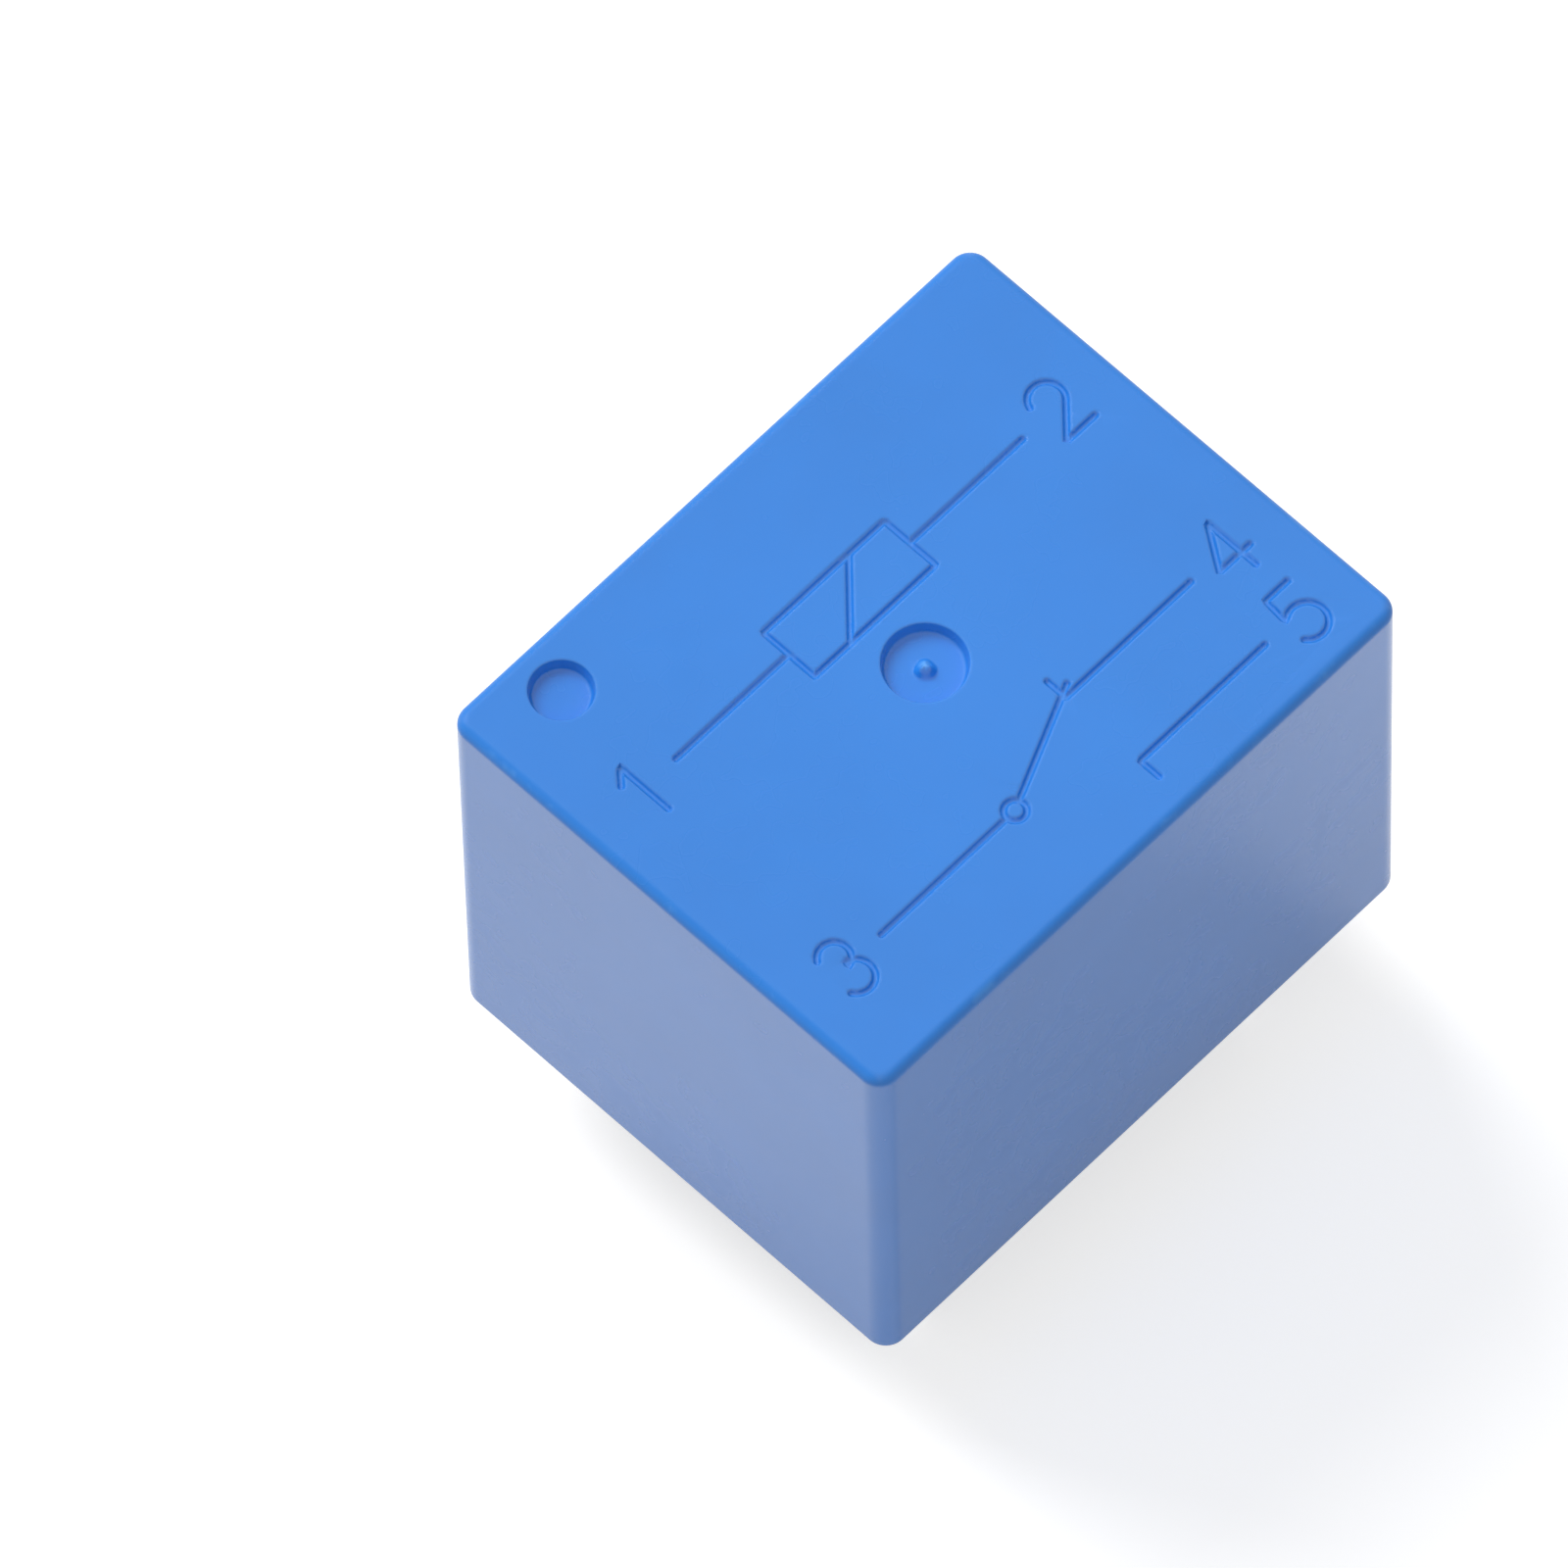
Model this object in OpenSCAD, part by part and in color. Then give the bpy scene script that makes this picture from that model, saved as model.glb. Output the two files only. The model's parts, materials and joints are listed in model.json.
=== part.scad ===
// Sealed changeover power relay for a circuit board.
// Millimetres, +Z up. The origin is the centre of the footprint, on the rim that seats on the board.
// +X runs from the hinge of the armature to the contacts.

/* [Cover] */
// Length of the cover
cover_l = 19; // [18:0.1:24]
// Width of the cover
cover_w = 15.2; // [14.6:0.1:20]
// Height of the cover above the board
cover_h = 15; // [14:0.1:20]
// Thickness of the side walls
wall_t = 0.7; // [0.5:0.05:0.9]
// Thickness of the roof
roof_t = 0.8; // [0.6:0.05:1.2]
// Radius of the upright outer edges
corner_r = 0.6; // [0.3:0.05:1.2]
// Radius of the upright inner edges
cavity_r = 0.3; // [0.1:0.05:0.5]
// Radius of the edges round the roof
roof_edge_r = 0.3; // [0.1:0.05:0.5]
// Width of the stop ribs inside the cover
rib_w = 1; // [0.6:0.1:1.6]
// How far the stop ribs stand off the walls
rib_t = 0.5; // [0.3:0.05:0.7]

/* [Roof recesses] */
// Diameter of the gate well at the centre of the roof
gate_d = 2.25; // [1.5:0.05:3]
// Depth of the gate well
gate_depth = 0.4; // [0.2:0.05:0.5]
// Diameter of the gate mark in the well
gate_mark_d = 0.6; // [0.3:0.05:1]
// Height of the gate mark above the well's floor
gate_mark_h = 0.25; // [0.1:0.05:0.3]
// Diameter of the vent recess
vent_d = 1.7; // [1:0.05:2.4]
// Depth of the vent recess
vent_depth = 0.4; // [0.2:0.05:0.5]
// Vent recess to the contact end of the cover
vent_end_inset = 2.6; // [2:0.1:4]
// Vent recess to the side of the cover
vent_side_inset = 1.5; // [1.4:0.1:3]

/* [Base and sealing] */
// How far the resin stays above the rim
resin_inset = 0.2; // [0.1:0.05:0.4]
// Thickness of the resin
resin_t = 0.6; // [0.4:0.05:0.9]
// Thickness of the base plate
base_t = 1; // [0.9:0.05:1.4]
// Thickness of the barrier between coil and contacts
barrier_t = 0.5; // [0.3:0.05:0.8]
// How far the barrier stays below the pole face
barrier_drop = 0.5; // [0.2:0.1:2]
// Height of the terminal towers above the base plate
tower_h = 3.2; // [2:0.1:5]
// Wall of the terminal towers
tower_wall = 0.6; // [0.4:0.05:0.8]
// Thickness of the ribs beside the yoke
yoke_rib_t = 0.5; // [0.3:0.05:0.6]
// Height of the ribs beside the yoke
yoke_rib_h = 0.8; // [0.4:0.1:1.1]
// Length of the ribs beside the yoke
yoke_rib_l = 4.5; // [3:0.1:5]

/* [Terminals] */
// Length of the pins below the board seat
pin_l = 3.5; // [2.5:0.1:5]
// Length of the tapered pin tips
pin_tip = 0.3; // [0.2:0.05:0.6]
// Diameter of the coil pins
coil_pin_d = 0.6; // [0.5:0.05:0.8]
// Diameter of the stop collar on the coil pins
pin_collar_d = 1; // [0.95:0.05:1.2]
// How far the collars stand out of the resin
collar_proud = 0.1; // [0:0.05:0.1]
// Thickness of the terminal strips
strip_t = 0.4; // [0.3:0.05:0.5]
// Width of the solder tails
tail_w = 1; // [0.8:0.05:1.4]
// Pin rows to the sides of the cover
pin_side_inset = 1.6; // [1.4:0.05:2]
// Contact pins to the end of the cover
contact_pin_inset = 2.4; // [2:0.05:3]
// Coil pins to the common pin, along the relay
coil_pin_step = 2; // [1.6:0.1:3]
// Inside radius of the bends in the terminal strips
strip_bend_r = 0.2; // [0.1:0.05:0.2]
// Width of the common terminal's neck
neck_w = 2.4; // [1.6:0.1:4]
// Width of the common terminal's riveted tab
tab_w = 5; // [4.6:0.1:8]
// Width of the fixed contact arms
arm_w = 2.8; // [2.6:0.1:3.2]

/* [Magnet] */
// Thickness of the yoke
yoke_t = 1.2; // [1:0.05:1.5]
// Width of the yoke
yoke_w = 8.6; // [8:0.1:9]
// Inside radius of the yoke's bend
yoke_bend_r = 0.3; // [0.1:0.05:0.6]
// How far the yoke's foot reaches past the core
foot_past = 1.2; // [0.8:0.1:1.6]
// Radius of the yoke's heel, on which the armature turns
heel_r = 0.2; // [0.1:0.05:0.4]
// Width of the ears that keep the armature in place
ear_w = 0.8; // [0.5:0.1:1.2]
// Height of the ears
ear_h = 0.7; // [0.4:0.1:1]
// Diameter of the core
core_d = 4; // [3:0.1:4.6]
// Diameter of the pole face
pole_d = 6; // [5:0.1:7]
// Thickness of the pole face
pole_t = 0.6; // [0.4:0.05:1]
// Diameter of the core's riveted spigot
spigot_d = 3; // [2:0.1:3.4]
// Thickness of the armature
armature_t = 1; // [0.8:0.05:1.2]
// Width of the armature over the pole
armature_w = 8.4; // [7.4:0.1:9]
// Width of the armature's front edge
armature_front_w = 6.4; // [5.4:0.1:7]
// How far the armature reaches past the pole face
armature_past = 0.5; // [0:0.1:0.9]
// Angle by which the armature stands open
open_angle = 3; // [2:0.1:4]

/* [Coil] */
// Wall of the bobbin's tube
tube_wall = 0.5; // [0.3:0.05:0.8]
// Thickness of the bobbin's flanges
flange_t = 0.7; // [0.5:0.05:0.9]
// Width of the bobbin's flanges
flange_w = 11; // [10.6:0.1:12]
// Corner radius of the flanges
flange_r = 0.8; // [0.3:0.1:1.5]
// How far the flanges stand past the winding
flange_lip = 0.3; // [0.2:0.05:0.8]
// Length of the pin lugs on the bobbin
lug_l = 1.5; // [1.2:0.1:2]
// Side of the bobbin's feet
foot_side = 0.8; // [0.5:0.1:1]
// Diameter of the winding's lead wires
lead_d = 0.12; // [0.08:0.02:0.2]
// Turns of each lead round its pin
lead_turns = 7; // [3:1:9]
// Length of the pin stubs above the lugs
stub_l = 1.9; // [1.8:0.1:2.6]

/* [Contacts] */
// Diameter of the contact heads
contact_d = 2.4; // [2:0.1:2.6]
// Height of the contact heads
contact_h = 0.5; // [0.4:0.05:0.7]
// Radius of the moving contact's domed faces
dome_r = 3.7; // [3:0.1:8]
// Edge chamfer of the fixed contacts
contact_edge = 0.1; // [0.05:0.05:0.2]
// Diameter of the contact shanks
shank_d = 1.2; // [0.8:0.1:1.4]
// Diameter of the riveted tails of the fixed contacts
peen_d = 1.8; // [1.6:0.1:2.2]
// Height of the riveted tails
peen_h = 0.2; // [0.1:0.05:0.35]
// Thickness of the contact spring
spring_t = 0.15; // [0.1:0.01:0.2]
// Width of the contact spring over the armature
spring_w = 5; // [4.6:0.1:5.6]
// Width of the contact spring's neck
spring_neck_w = 2; // [1.6:0.1:2.4]
// Inside radius of the contact spring's bend
spring_bend_r = 0.6; // [0.5:0.05:0.8]
// Length of the contact spring below the hinge
spring_leg_l = 6; // [5:0.1:6.4]
// Width of the window in the spring's bend
spring_window_w = 2; // [1:0.1:2.6]
// How far the contact spring reaches past the contact head
spring_past = 0.3; // [0.2:0.05:0.4]

/* [Rivets] */
// Diameter of the rivet shanks
rivet_d = 0.9; // [0.6:0.05:1.1]
// Diameter of the rivet heads
rivet_head_d = 1.7; // [1.4:0.1:2]
// Height of the rivet heads
rivet_head_h = 0.3; // [0.2:0.05:0.35]
// Rivet to rivet
rivet_pitch = 3; // [2.4:0.1:3]
// Rivets to the edge of the spring and tab
rivet_edge = 1.2; // [1:0.1:1.5]

/* [Clearances] */
// Slip clearance between fitted pieces
fit = 0.04; // [0.02:0.01:0.06]
// Gap left by the resin at walls and round pins
seal_gap = 0.02; // [0.01:0.01:0.04]
// Gap at the closed contacts and at the closed pole
touch = 0.03; // [0.02:0.01:0.05]
// Free space beside the coil and the barrier
coil_air = 0.15; // [0.1:0.05:0.3]
// Free space between contact arms and barrier
arm_air = 0.3; // [0.2:0.05:0.5]
// Free space behind the rivets and above the contacts
cover_air = 0.25; // [0.15:0.05:0.4]
// Free space at the sides of the armature's tail
tail_air = 0.15; // [0.1:0.05:0.3]

/* [Hidden] */
$fn = 48;

// Overshoot of cutting tools past the faces they cut
past = 1;

// Cavity and floor levels
cavity_l = cover_l - 2 * wall_t;
cavity_w = cover_w - 2 * wall_t;
cavity_top = cover_h - roof_t;
base_l = cavity_l - 2 * fit;
base_w = cavity_w - 2 * fit;
resin_top = resin_inset + resin_t;
base_top = resin_top + base_t;
foot_top = base_top + yoke_t;

// Stack at the hinge end: wall, rivet heads, common terminal, contact spring, yoke
strip_back = -(cavity_l / 2 - cover_air - rivet_head_h);
strip_front = strip_back + strip_t;
yoke_back = strip_front + spring_t;
yoke_front = yoke_back + yoke_t;
common_x = (yoke_back + yoke_front) / 2;
coil_pin_x = common_x + coil_pin_step;

// Stack at the contact end: contact arms, barrier, coil
contact_pin_x = cover_l / 2 - contact_pin_inset;
arm_front = contact_pin_x + tail_w / 2;
contact_x = arm_front - arm_w / 2;
barrier_front = arm_front - arm_w - arm_air;
barrier_back = barrier_front - barrier_t;
coil_front = barrier_back - coil_air;
coil_back = yoke_front + yoke_bend_r + coil_air;
flange_l = coil_front - coil_back;
coil_x = (coil_front + coil_back) / 2;
winding_r = min(flange_l, flange_w) / 2 - flange_lip;
pin_y = cover_w / 2 - pin_side_inset;

// The hinge lies so that the open armature holds the moving contact against the upper contact
hinge_x = yoke_back + heel_r;
armature_under = heel_r + touch;
spring_under = armature_under + armature_t;
spring_top = spring_under + spring_t;
reach = contact_x - hinge_x;
dome_rise = reach * sin(open_angle) + (spring_top + contact_h - dome_r) * cos(open_angle) + dome_r;
nc_arm_top = cavity_top - cover_air - peen_h;
nc_face = nc_arm_top - strip_t - contact_h;
hinge_z = nc_face - touch - dome_rise;
pole_z = hinge_z + heel_r;
no_face = hinge_z + spring_under - contact_h - touch;
no_arm_top = no_face - contact_h;

// Coil former levels
lower_flange_top = foot_top + flange_t;
upper_flange_top = pole_z - pole_t;
upper_flange_under = upper_flange_top - flange_t;
tube_r = core_d / 2 + fit + tube_wall;
lug_out = cavity_w / 2 - cover_air;
bobbin_foot_x = coil_front - foot_side;

// Rivets and spring
spring_low = hinge_z - spring_leg_l;
yoke_rivet_z = spring_low + rivet_edge;
tab_low = spring_low - fit;
tab_top = yoke_rivet_z + rivet_edge;
armature_tail_w = yoke_w - 2 * ear_w - 2 * tail_air;
armature_front = coil_x + pole_d / 2 + armature_past - hinge_x;
armature_back = touch - heel_r + tail_air / 2;
armature_shoulder = yoke_front + tail_air - hinge_x;
armature_rivet_x = armature_shoulder + rivet_edge;
spring_end_r = contact_d / 2 + spring_past;
// Centre of the spring's bend, seen from the hinge
bend_x = spring_bend_r - heel_r;
bend_z = (spring_under - spring_bend_r + bend_x * sin(open_angle)) / cos(open_angle);

// Common terminal's jog, half-way up the base plate
jog_under = (resin_top + base_top - strip_t) / 2;

// Coil leads
lead_z = lower_flange_top + lead_d;
lead_pitch = 0.9 * lead_d;
wrap_r = coil_pin_d / 2 + seal_gap + lead_d / 2;
lead_span = norm([coil_x - coil_pin_x, pin_y]);
lead_turn = atan2(pin_y, coil_x - coil_pin_x);

cover_blue = [0.30, 0.56, 0.90];
base_blue = [0.16, 0.33, 0.62];
resin_black = [0.10, 0.11, 0.14];
bobbin_black = [0.16, 0.16, 0.17];
winding_copper = [0.68, 0.30, 0.15];
iron_grey = [0.70, 0.70, 0.68];
tin_grey = [0.80, 0.79, 0.76];
spring_bronze = [0.78, 0.55, 0.32];
contact_silver = [0.88, 0.88, 0.86];

// Outline that is the same on both sides of the X axis, from the points of its +Y side
function both_sides(points) =
  concat(points, [for (i = [len(points) - 1 : -1 : 0]) [points[i].x, -points[i].y]]);

// Rectangle with round corners, centred
module round_rect(l, w, r) {
  square([l - 2 * r, w], center = true);
  square([l, w - 2 * r], center = true);
  for (sx = [-1, 1], sy = [-1, 1])
    translate([sx * (l / 2 - r), sy * (w / 2 - r)])
      circle(r);
}

// Upright outline of the cover with its two top corners rounded
module roof_outline(l) {
  translate([-l / 2, 0])
    square([l, cover_h - roof_edge_r]);
  translate([roof_edge_r - l / 2, 0])
    square([l - 2 * roof_edge_r, cover_h]);
  for (s = [-1, 1])
    translate([s * (l / 2 - roof_edge_r), cover_h - roof_edge_r])
      circle(roof_edge_r);
}

// Quarter of a bent strip in the first quadrant, centred on the bend
module quarter_bend(r, t) {
  intersection() {
    difference() {
      circle(r + t);
      circle(r);
    }
    square(r + t);
  }
}

// Extrudes an outline drawn in X and Z by w, centred on Y
module across(w) {
  rotate([90, 0, 0])
    translate([0, 0, -w / 2])
      linear_extrude(w)
        children();
}

// Places what is modelled at the closed hinge, opened by the rest angle
module at_hinge() {
  translate([hinge_x, 0, hinge_z])
    rotate([0, -open_angle, 0])
      children();
}

// Solder tail, drawn in its width and Z, down from the given level
module tail_outline(from_z) {
  tip_w = tail_w / 2;
  polygon([[-tail_w / 2, from_z], [-tail_w / 2, pin_tip - pin_l], [-tip_w / 2, -pin_l],
           [tip_w / 2, -pin_l], [tail_w / 2, pin_tip - pin_l], [tail_w / 2, from_z]]);
}

// Rivet with its head's underside at 0 and its shank going down
module rivet(shank_l) {
  crown = rivet_head_h / 2;
  rotate_extrude()
    polygon([[0, -shank_l], [rivet_d / 2, -shank_l], [rivet_d / 2, 0], [rivet_head_d / 2, 0],
             [rivet_head_d / 2, crown], [rivet_head_d / 2 - crown, rivet_head_h], [0, rivet_head_h]]);
}

// Two places at rivet distance
module rivet_pair() {
  for (s = [-1, 1])
    translate([0, s * rivet_pitch / 2, 0])
      children();
}

// The rivets' places on the back of the yoke, pointing out
module yoke_rivet_places() {
  translate([strip_back, 0, yoke_rivet_z])
    rivet_pair()
      rotate([0, -90, 0])
        children();
}

// Holes for the yoke's rivets, through everything behind and in the yoke
module yoke_rivet_holes() {
  yoke_rivet_places()
    translate([0, 0, -past - strip_t - spring_t - yoke_t])
      cylinder(d = rivet_d + 2 * fit, h = strip_t + spring_t + yoke_t + 2 * past);
}

// The places of the coil pins, at the board seat
module coil_pin_places() {
  for (s = [-1, 1])
    translate([coil_pin_x, s * pin_y, 0])
      children();
}

// The places of the two contact tails, at the board seat
module contact_pin_places() {
  for (s = [-1, 1])
    translate([contact_pin_x, s * pin_y, 0])
      children();
}

module cover() {
  color(cover_blue)
    difference() {
      intersection() {
        linear_extrude(cover_h)
          round_rect(cover_l, cover_w, corner_r);
        across(cover_w + 2 * past)
          roof_outline(cover_l);
        rotate([0, 0, 90])
          across(cover_l + 2 * past)
            roof_outline(cover_w);
      }
      cover_cavity();
      translate([0, 0, cover_h - gate_depth])
        difference() {
          cylinder(d = gate_d, h = gate_depth + past);
          translate([0, 0, -past])
            cylinder(d = gate_mark_d, h = gate_mark_h + past);
        }
      translate([cover_l / 2 - vent_end_inset, vent_side_inset - cover_w / 2, cover_h - vent_depth])
        cylinder(d = vent_d, h = vent_depth + past);
    }
}

// Room inside the cover, less the ribs that stop the base at its depth
module cover_cavity() {
  difference() {
    translate([0, 0, -past])
      linear_extrude(cavity_top + past)
        round_rect(cavity_l, cavity_w, cavity_r);
    translate([0, 0, base_top])
      linear_extrude(cover_h) {
        for (s = [-1, 1])
          translate([coil_x, s * cavity_w / 2])
            square([rib_w, 2 * rib_t], center = true);
        translate([cavity_l / 2, 0])
          square([2 * rib_t, rib_w], center = true);
      }
  }
}

module base() {
  color(base_blue)
    difference() {
      union() {
        translate([0, 0, resin_top])
          linear_extrude(base_t)
            round_rect(base_l, base_w, cavity_r);
        translate([barrier_back, -base_w / 2 + cavity_r, base_top])
          cube([barrier_t, base_w - 2 * cavity_r, pole_z - barrier_drop - base_top]);
        for (s = [0, 1])
          mirror([0, s, 0]) {
            terminal_tower();
            yoke_rib();
          }
      }
      base_openings();
    }
}

// Block that holds a contact terminal's foot
module terminal_tower() {
  inside = pin_y - strip_t / 2 - tower_wall;
  translate([barrier_front - barrier_t / 2, inside, base_top])
    cube([arm_front + tower_wall - barrier_front + barrier_t / 2, base_w / 2 - cavity_r - inside, tower_h]);
}

// Rib that keeps the yoke's foot in place
module yoke_rib() {
  translate([coil_x - yoke_rib_l / 2, yoke_w / 2 + fit, base_top])
    cube([yoke_rib_l, yoke_rib_t, yoke_rib_h]);
}

// Slots and holes for every terminal
module base_openings() {
  coil_pin_places()
    cylinder(d = coil_pin_d + 2 * fit, h = base_top + past);
  contact_pin_places()
    translate([-tail_w / 2 - fit, -strip_t / 2 - fit, 0])
      cube([tail_w + 2 * fit, strip_t + 2 * fit, base_top + past]);
  for (s = [-1, 1])
    translate([contact_x - arm_w / 2 - fit, s * pin_y - strip_t / 2 - fit, base_top])
      cube([arm_w + 2 * fit, strip_t + 2 * fit, tower_h + past]);
  translate([strip_back - fit, -neck_w / 2 - fit, 0])
    cube([common_x + strip_t / 2 - strip_back + 2 * fit, neck_w + 2 * fit, base_top + past]);
}

module sealing_resin() {
  color(resin_black)
    translate([0, 0, resin_inset])
      difference() {
        linear_extrude(resin_t)
          round_rect(cavity_l - 2 * seal_gap, cavity_w - 2 * seal_gap, cavity_r);
        coil_pin_places()
          translate([0, 0, -past])
            cylinder(d = pin_collar_d + 2 * seal_gap, h = resin_t + 2 * past);
        contact_pin_places()
          tail_slot(tail_w, strip_t);
        translate([common_x, 0, 0])
          tail_slot(strip_t, tail_w);
      }
}

// Opening in the resin round a flat tail
module tail_slot(l, w) {
  translate([0, 0, resin_t / 2])
    cube([l + 2 * seal_gap, w + 2 * seal_gap, resin_t + 2 * past], center = true);
}

module bobbin() {
  color(bobbin_black)
    difference() {
      union() {
        translate([coil_x, 0, 0]) {
          for (z = [foot_top, upper_flange_under])
            translate([0, 0, z])
              linear_extrude(flange_t)
                round_rect(flange_l, flange_w, flange_r);
          translate([0, 0, foot_top])
            cylinder(r = tube_r, h = upper_flange_top - foot_top);
        }
        for (s = [0, 1])
          mirror([0, s, 0]) {
            translate([coil_pin_x - lug_l / 2, flange_w / 2 - lug_l / 2, base_top])
              cube([lug_l, lug_out - flange_w / 2 + lug_l / 2, lower_flange_top - base_top]);
            translate([bobbin_foot_x - foot_side / 2, flange_w / 2 - flange_r / 2 - foot_side, base_top])
              cube([foot_side, foot_side, foot_top - base_top + flange_t / 2]);
          }
      }
      translate([coil_x, 0, 0])
        cylinder(d = core_d + 2 * fit, h = cover_h);
      coil_pin_places()
        cylinder(d = coil_pin_d + 2 * fit, h = cover_h);
    }
}

module coil_winding() {
  color(winding_copper)
    translate([coil_x, 0, lower_flange_top + fit])
      difference() {
        cylinder(r = winding_r, h = upper_flange_under - lower_flange_top - 2 * fit);
        translate([0, 0, -past])
          cylinder(r = tube_r + fit, h = cover_h);
      }
}

// Winding end on the +Y side: turns round the pin and a straight run to the winding
module coil_lead() {
  color(winding_copper)
    translate([coil_pin_x, pin_y, lead_z]) {
      for (i = [0 : lead_turns - 1])
        translate([0, 0, i * lead_pitch])
          rotate_extrude()
            translate([wrap_r, 0])
              circle(d = lead_d, $fn = 16);
      rotate([0, 90, -lead_turn])
        translate([0, 0, wrap_r])
          cylinder(d = lead_d, h = lead_span - wrap_r - winding_r - seal_gap, $fn = 16);
    }
}

module coil_lead_1() {
  coil_lead();
}

module coil_lead_2() {
  mirror([0, 1, 0])
    coil_lead();
}

// Round coil terminal with tapered ends and a collar that stops it under the base
module coil_pin() {
  top = lower_flange_top + stub_l;
  collar_low = resin_inset - collar_proud;
  r = coil_pin_d / 2;
  color(tin_grey)
    rotate_extrude()
      polygon([[0, -pin_l], [r / 2, -pin_l], [r, pin_tip - pin_l], [r, collar_low],
               [pin_collar_d / 2, collar_low], [pin_collar_d / 2, resin_top], [r, resin_top],
               [r, top - pin_tip], [r / 2, top], [0, top]]);
}

module coil_pin_1() {
  translate([coil_pin_x, pin_y, 0])
    coil_pin();
}

module coil_pin_2() {
  translate([coil_pin_x, -pin_y, 0])
    coil_pin();
}

module core() {
  color(iron_grey)
    translate([coil_x, 0, 0])
      rotate_extrude()
        polygon([[0, base_top + fit], [spigot_d / 2, base_top + fit], [spigot_d / 2, foot_top],
                 [core_d / 2, foot_top], [core_d / 2, upper_flange_top], [pole_d / 2, upper_flange_top],
                 [pole_d / 2, pole_z], [0, pole_z]]);
}

module yoke() {
  foot_front = coil_x + core_d / 2 + foot_past;
  bend_centre_x = yoke_front + yoke_bend_r;
  bend_centre_z = foot_top + yoke_bend_r;
  color(iron_grey)
    difference() {
      union() {
        across(yoke_w) {
          translate([yoke_back, bend_centre_z])
            square([yoke_t, hinge_z - bend_centre_z]);
          translate([hinge_x, bend_centre_z])
            square([yoke_t - heel_r, pole_z - bend_centre_z]);
          translate([hinge_x, hinge_z])
            circle(heel_r);
          translate([bend_centre_x, bend_centre_z])
            rotate(180)
              quarter_bend(yoke_bend_r, yoke_t);
          translate([bend_centre_x, base_top])
            square([foot_front - bend_centre_x, yoke_t]);
        }
        for (s = [0, 1])
          mirror([0, s, 0])
            translate([hinge_x, yoke_w / 2 - ear_w, hinge_z])
              cube([yoke_t - heel_r, ear_w, heel_r + ear_h]);
      }
      translate([coil_x, 0, 0])
        cylinder(d = spigot_d + 2 * fit, h = foot_top + past);
      yoke_rivet_holes();
    }
}

module armature() {
  half_tail = armature_tail_w / 2;
  half_w = armature_w / 2;
  half_front = armature_front_w / 2;
  taper = (armature_w - armature_front_w) / 2;
  chamfer = spring_bend_r - tail_air / 2;
  outline = [[armature_back, half_tail], [armature_shoulder, half_tail], [armature_shoulder, half_w],
             [armature_front - taper, half_w], [armature_front, half_front]];
  color(iron_grey)
    at_hinge()
      difference() {
        translate([0, 0, armature_under])
          linear_extrude(armature_t)
            polygon(both_sides(outline));
        across(armature_w)
          translate([armature_back, spring_under])
            polygon([[-past, -chamfer - past], [-past, past], [chamfer + past, past]]);
        translate([armature_rivet_x, 0, 0])
          rivet_pair()
            cylinder(d = rivet_d + 2 * fit, h = spring_top + past);
      }
}

module armature_rivets() {
  color(tin_grey)
    at_hinge()
      translate([armature_rivet_x, 0, spring_top])
        rivet_pair()
          rivet(spring_t + armature_t);
}

module contact_spring() {
  color(spring_bronze)
    difference() {
      intersection() {
        across(spring_w)
          spring_profile();
        at_hinge()
          translate([0, 0, -spring_leg_l - past]) {
            linear_extrude(2 * spring_leg_l)
              spring_plan();
            translate([reach, 0, 0])
              cylinder(r = spring_end_r, h = 2 * spring_leg_l);
          }
      }
      at_hinge() {
        translate([armature_rivet_x, 0, 0])
          rivet_pair()
            cylinder(d = rivet_d + 2 * fit, h = spring_top + past);
        translate([reach, 0, 0])
          cylinder(d = shank_d + 2 * fit, h = spring_top + past);
      }
      translate([yoke_back - past, -spring_window_w / 2, hinge_z - spring_window_w])
        cube([past + armature_shoulder + heel_r, spring_window_w, 2 * spring_window_w]);
      yoke_rivet_holes();
    }
}

// Side view of the contact spring: straight back leg, bend, and blade along the open armature
module spring_profile() {
  translate([yoke_back - spring_t, spring_low])
    square([spring_t, hinge_z + bend_z - spring_low]);
  translate([hinge_x + bend_x, hinge_z + bend_z]) {
    outer = spring_bend_r + spring_t;
    intersection() {
      difference() {
        circle(outer);
        circle(spring_bend_r);
      }
      translate([-outer, 0])
        square([2 * outer, outer]);
      rotate(open_angle)
        translate([-2 * outer, -outer])
          square([2 * outer, 3 * outer]);
    }
    rotate(open_angle)
      translate([0, spring_bend_r])
        square([reach + spring_end_r, spring_t]);
  }
}

// Plan of the contact spring: wide over the armature, then a neck up to its round end
module spring_plan() {
  back = -2 * heel_r - spring_bend_r - spring_leg_l;
  wide_end = armature_front - rivet_edge;
  neck_start = armature_front + rivet_edge / 2;
  polygon(both_sides([[back, spring_w / 2], [wide_end, spring_w / 2],
                      [neck_start, spring_neck_w / 2], [reach, spring_neck_w / 2]]));
}

// Contact head with a domed face, its flat side at 0
module domed_head() {
  intersection() {
    cylinder(d = contact_d, h = contact_h);
    translate([0, 0, contact_h - dome_r])
      sphere(dome_r);
  }
}

module moving_contact() {
  color(contact_silver)
    at_hinge()
      translate([reach, 0, 0]) {
        translate([0, 0, spring_top])
          domed_head();
        translate([0, 0, spring_under])
          mirror([0, 0, 1])
            domed_head();
        translate([0, 0, spring_under])
          cylinder(d = shank_d, h = spring_t);
      }
}

module yoke_rivets() {
  color(tin_grey)
    yoke_rivet_places()
      rivet(strip_t + spring_t + yoke_t);
}

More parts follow.
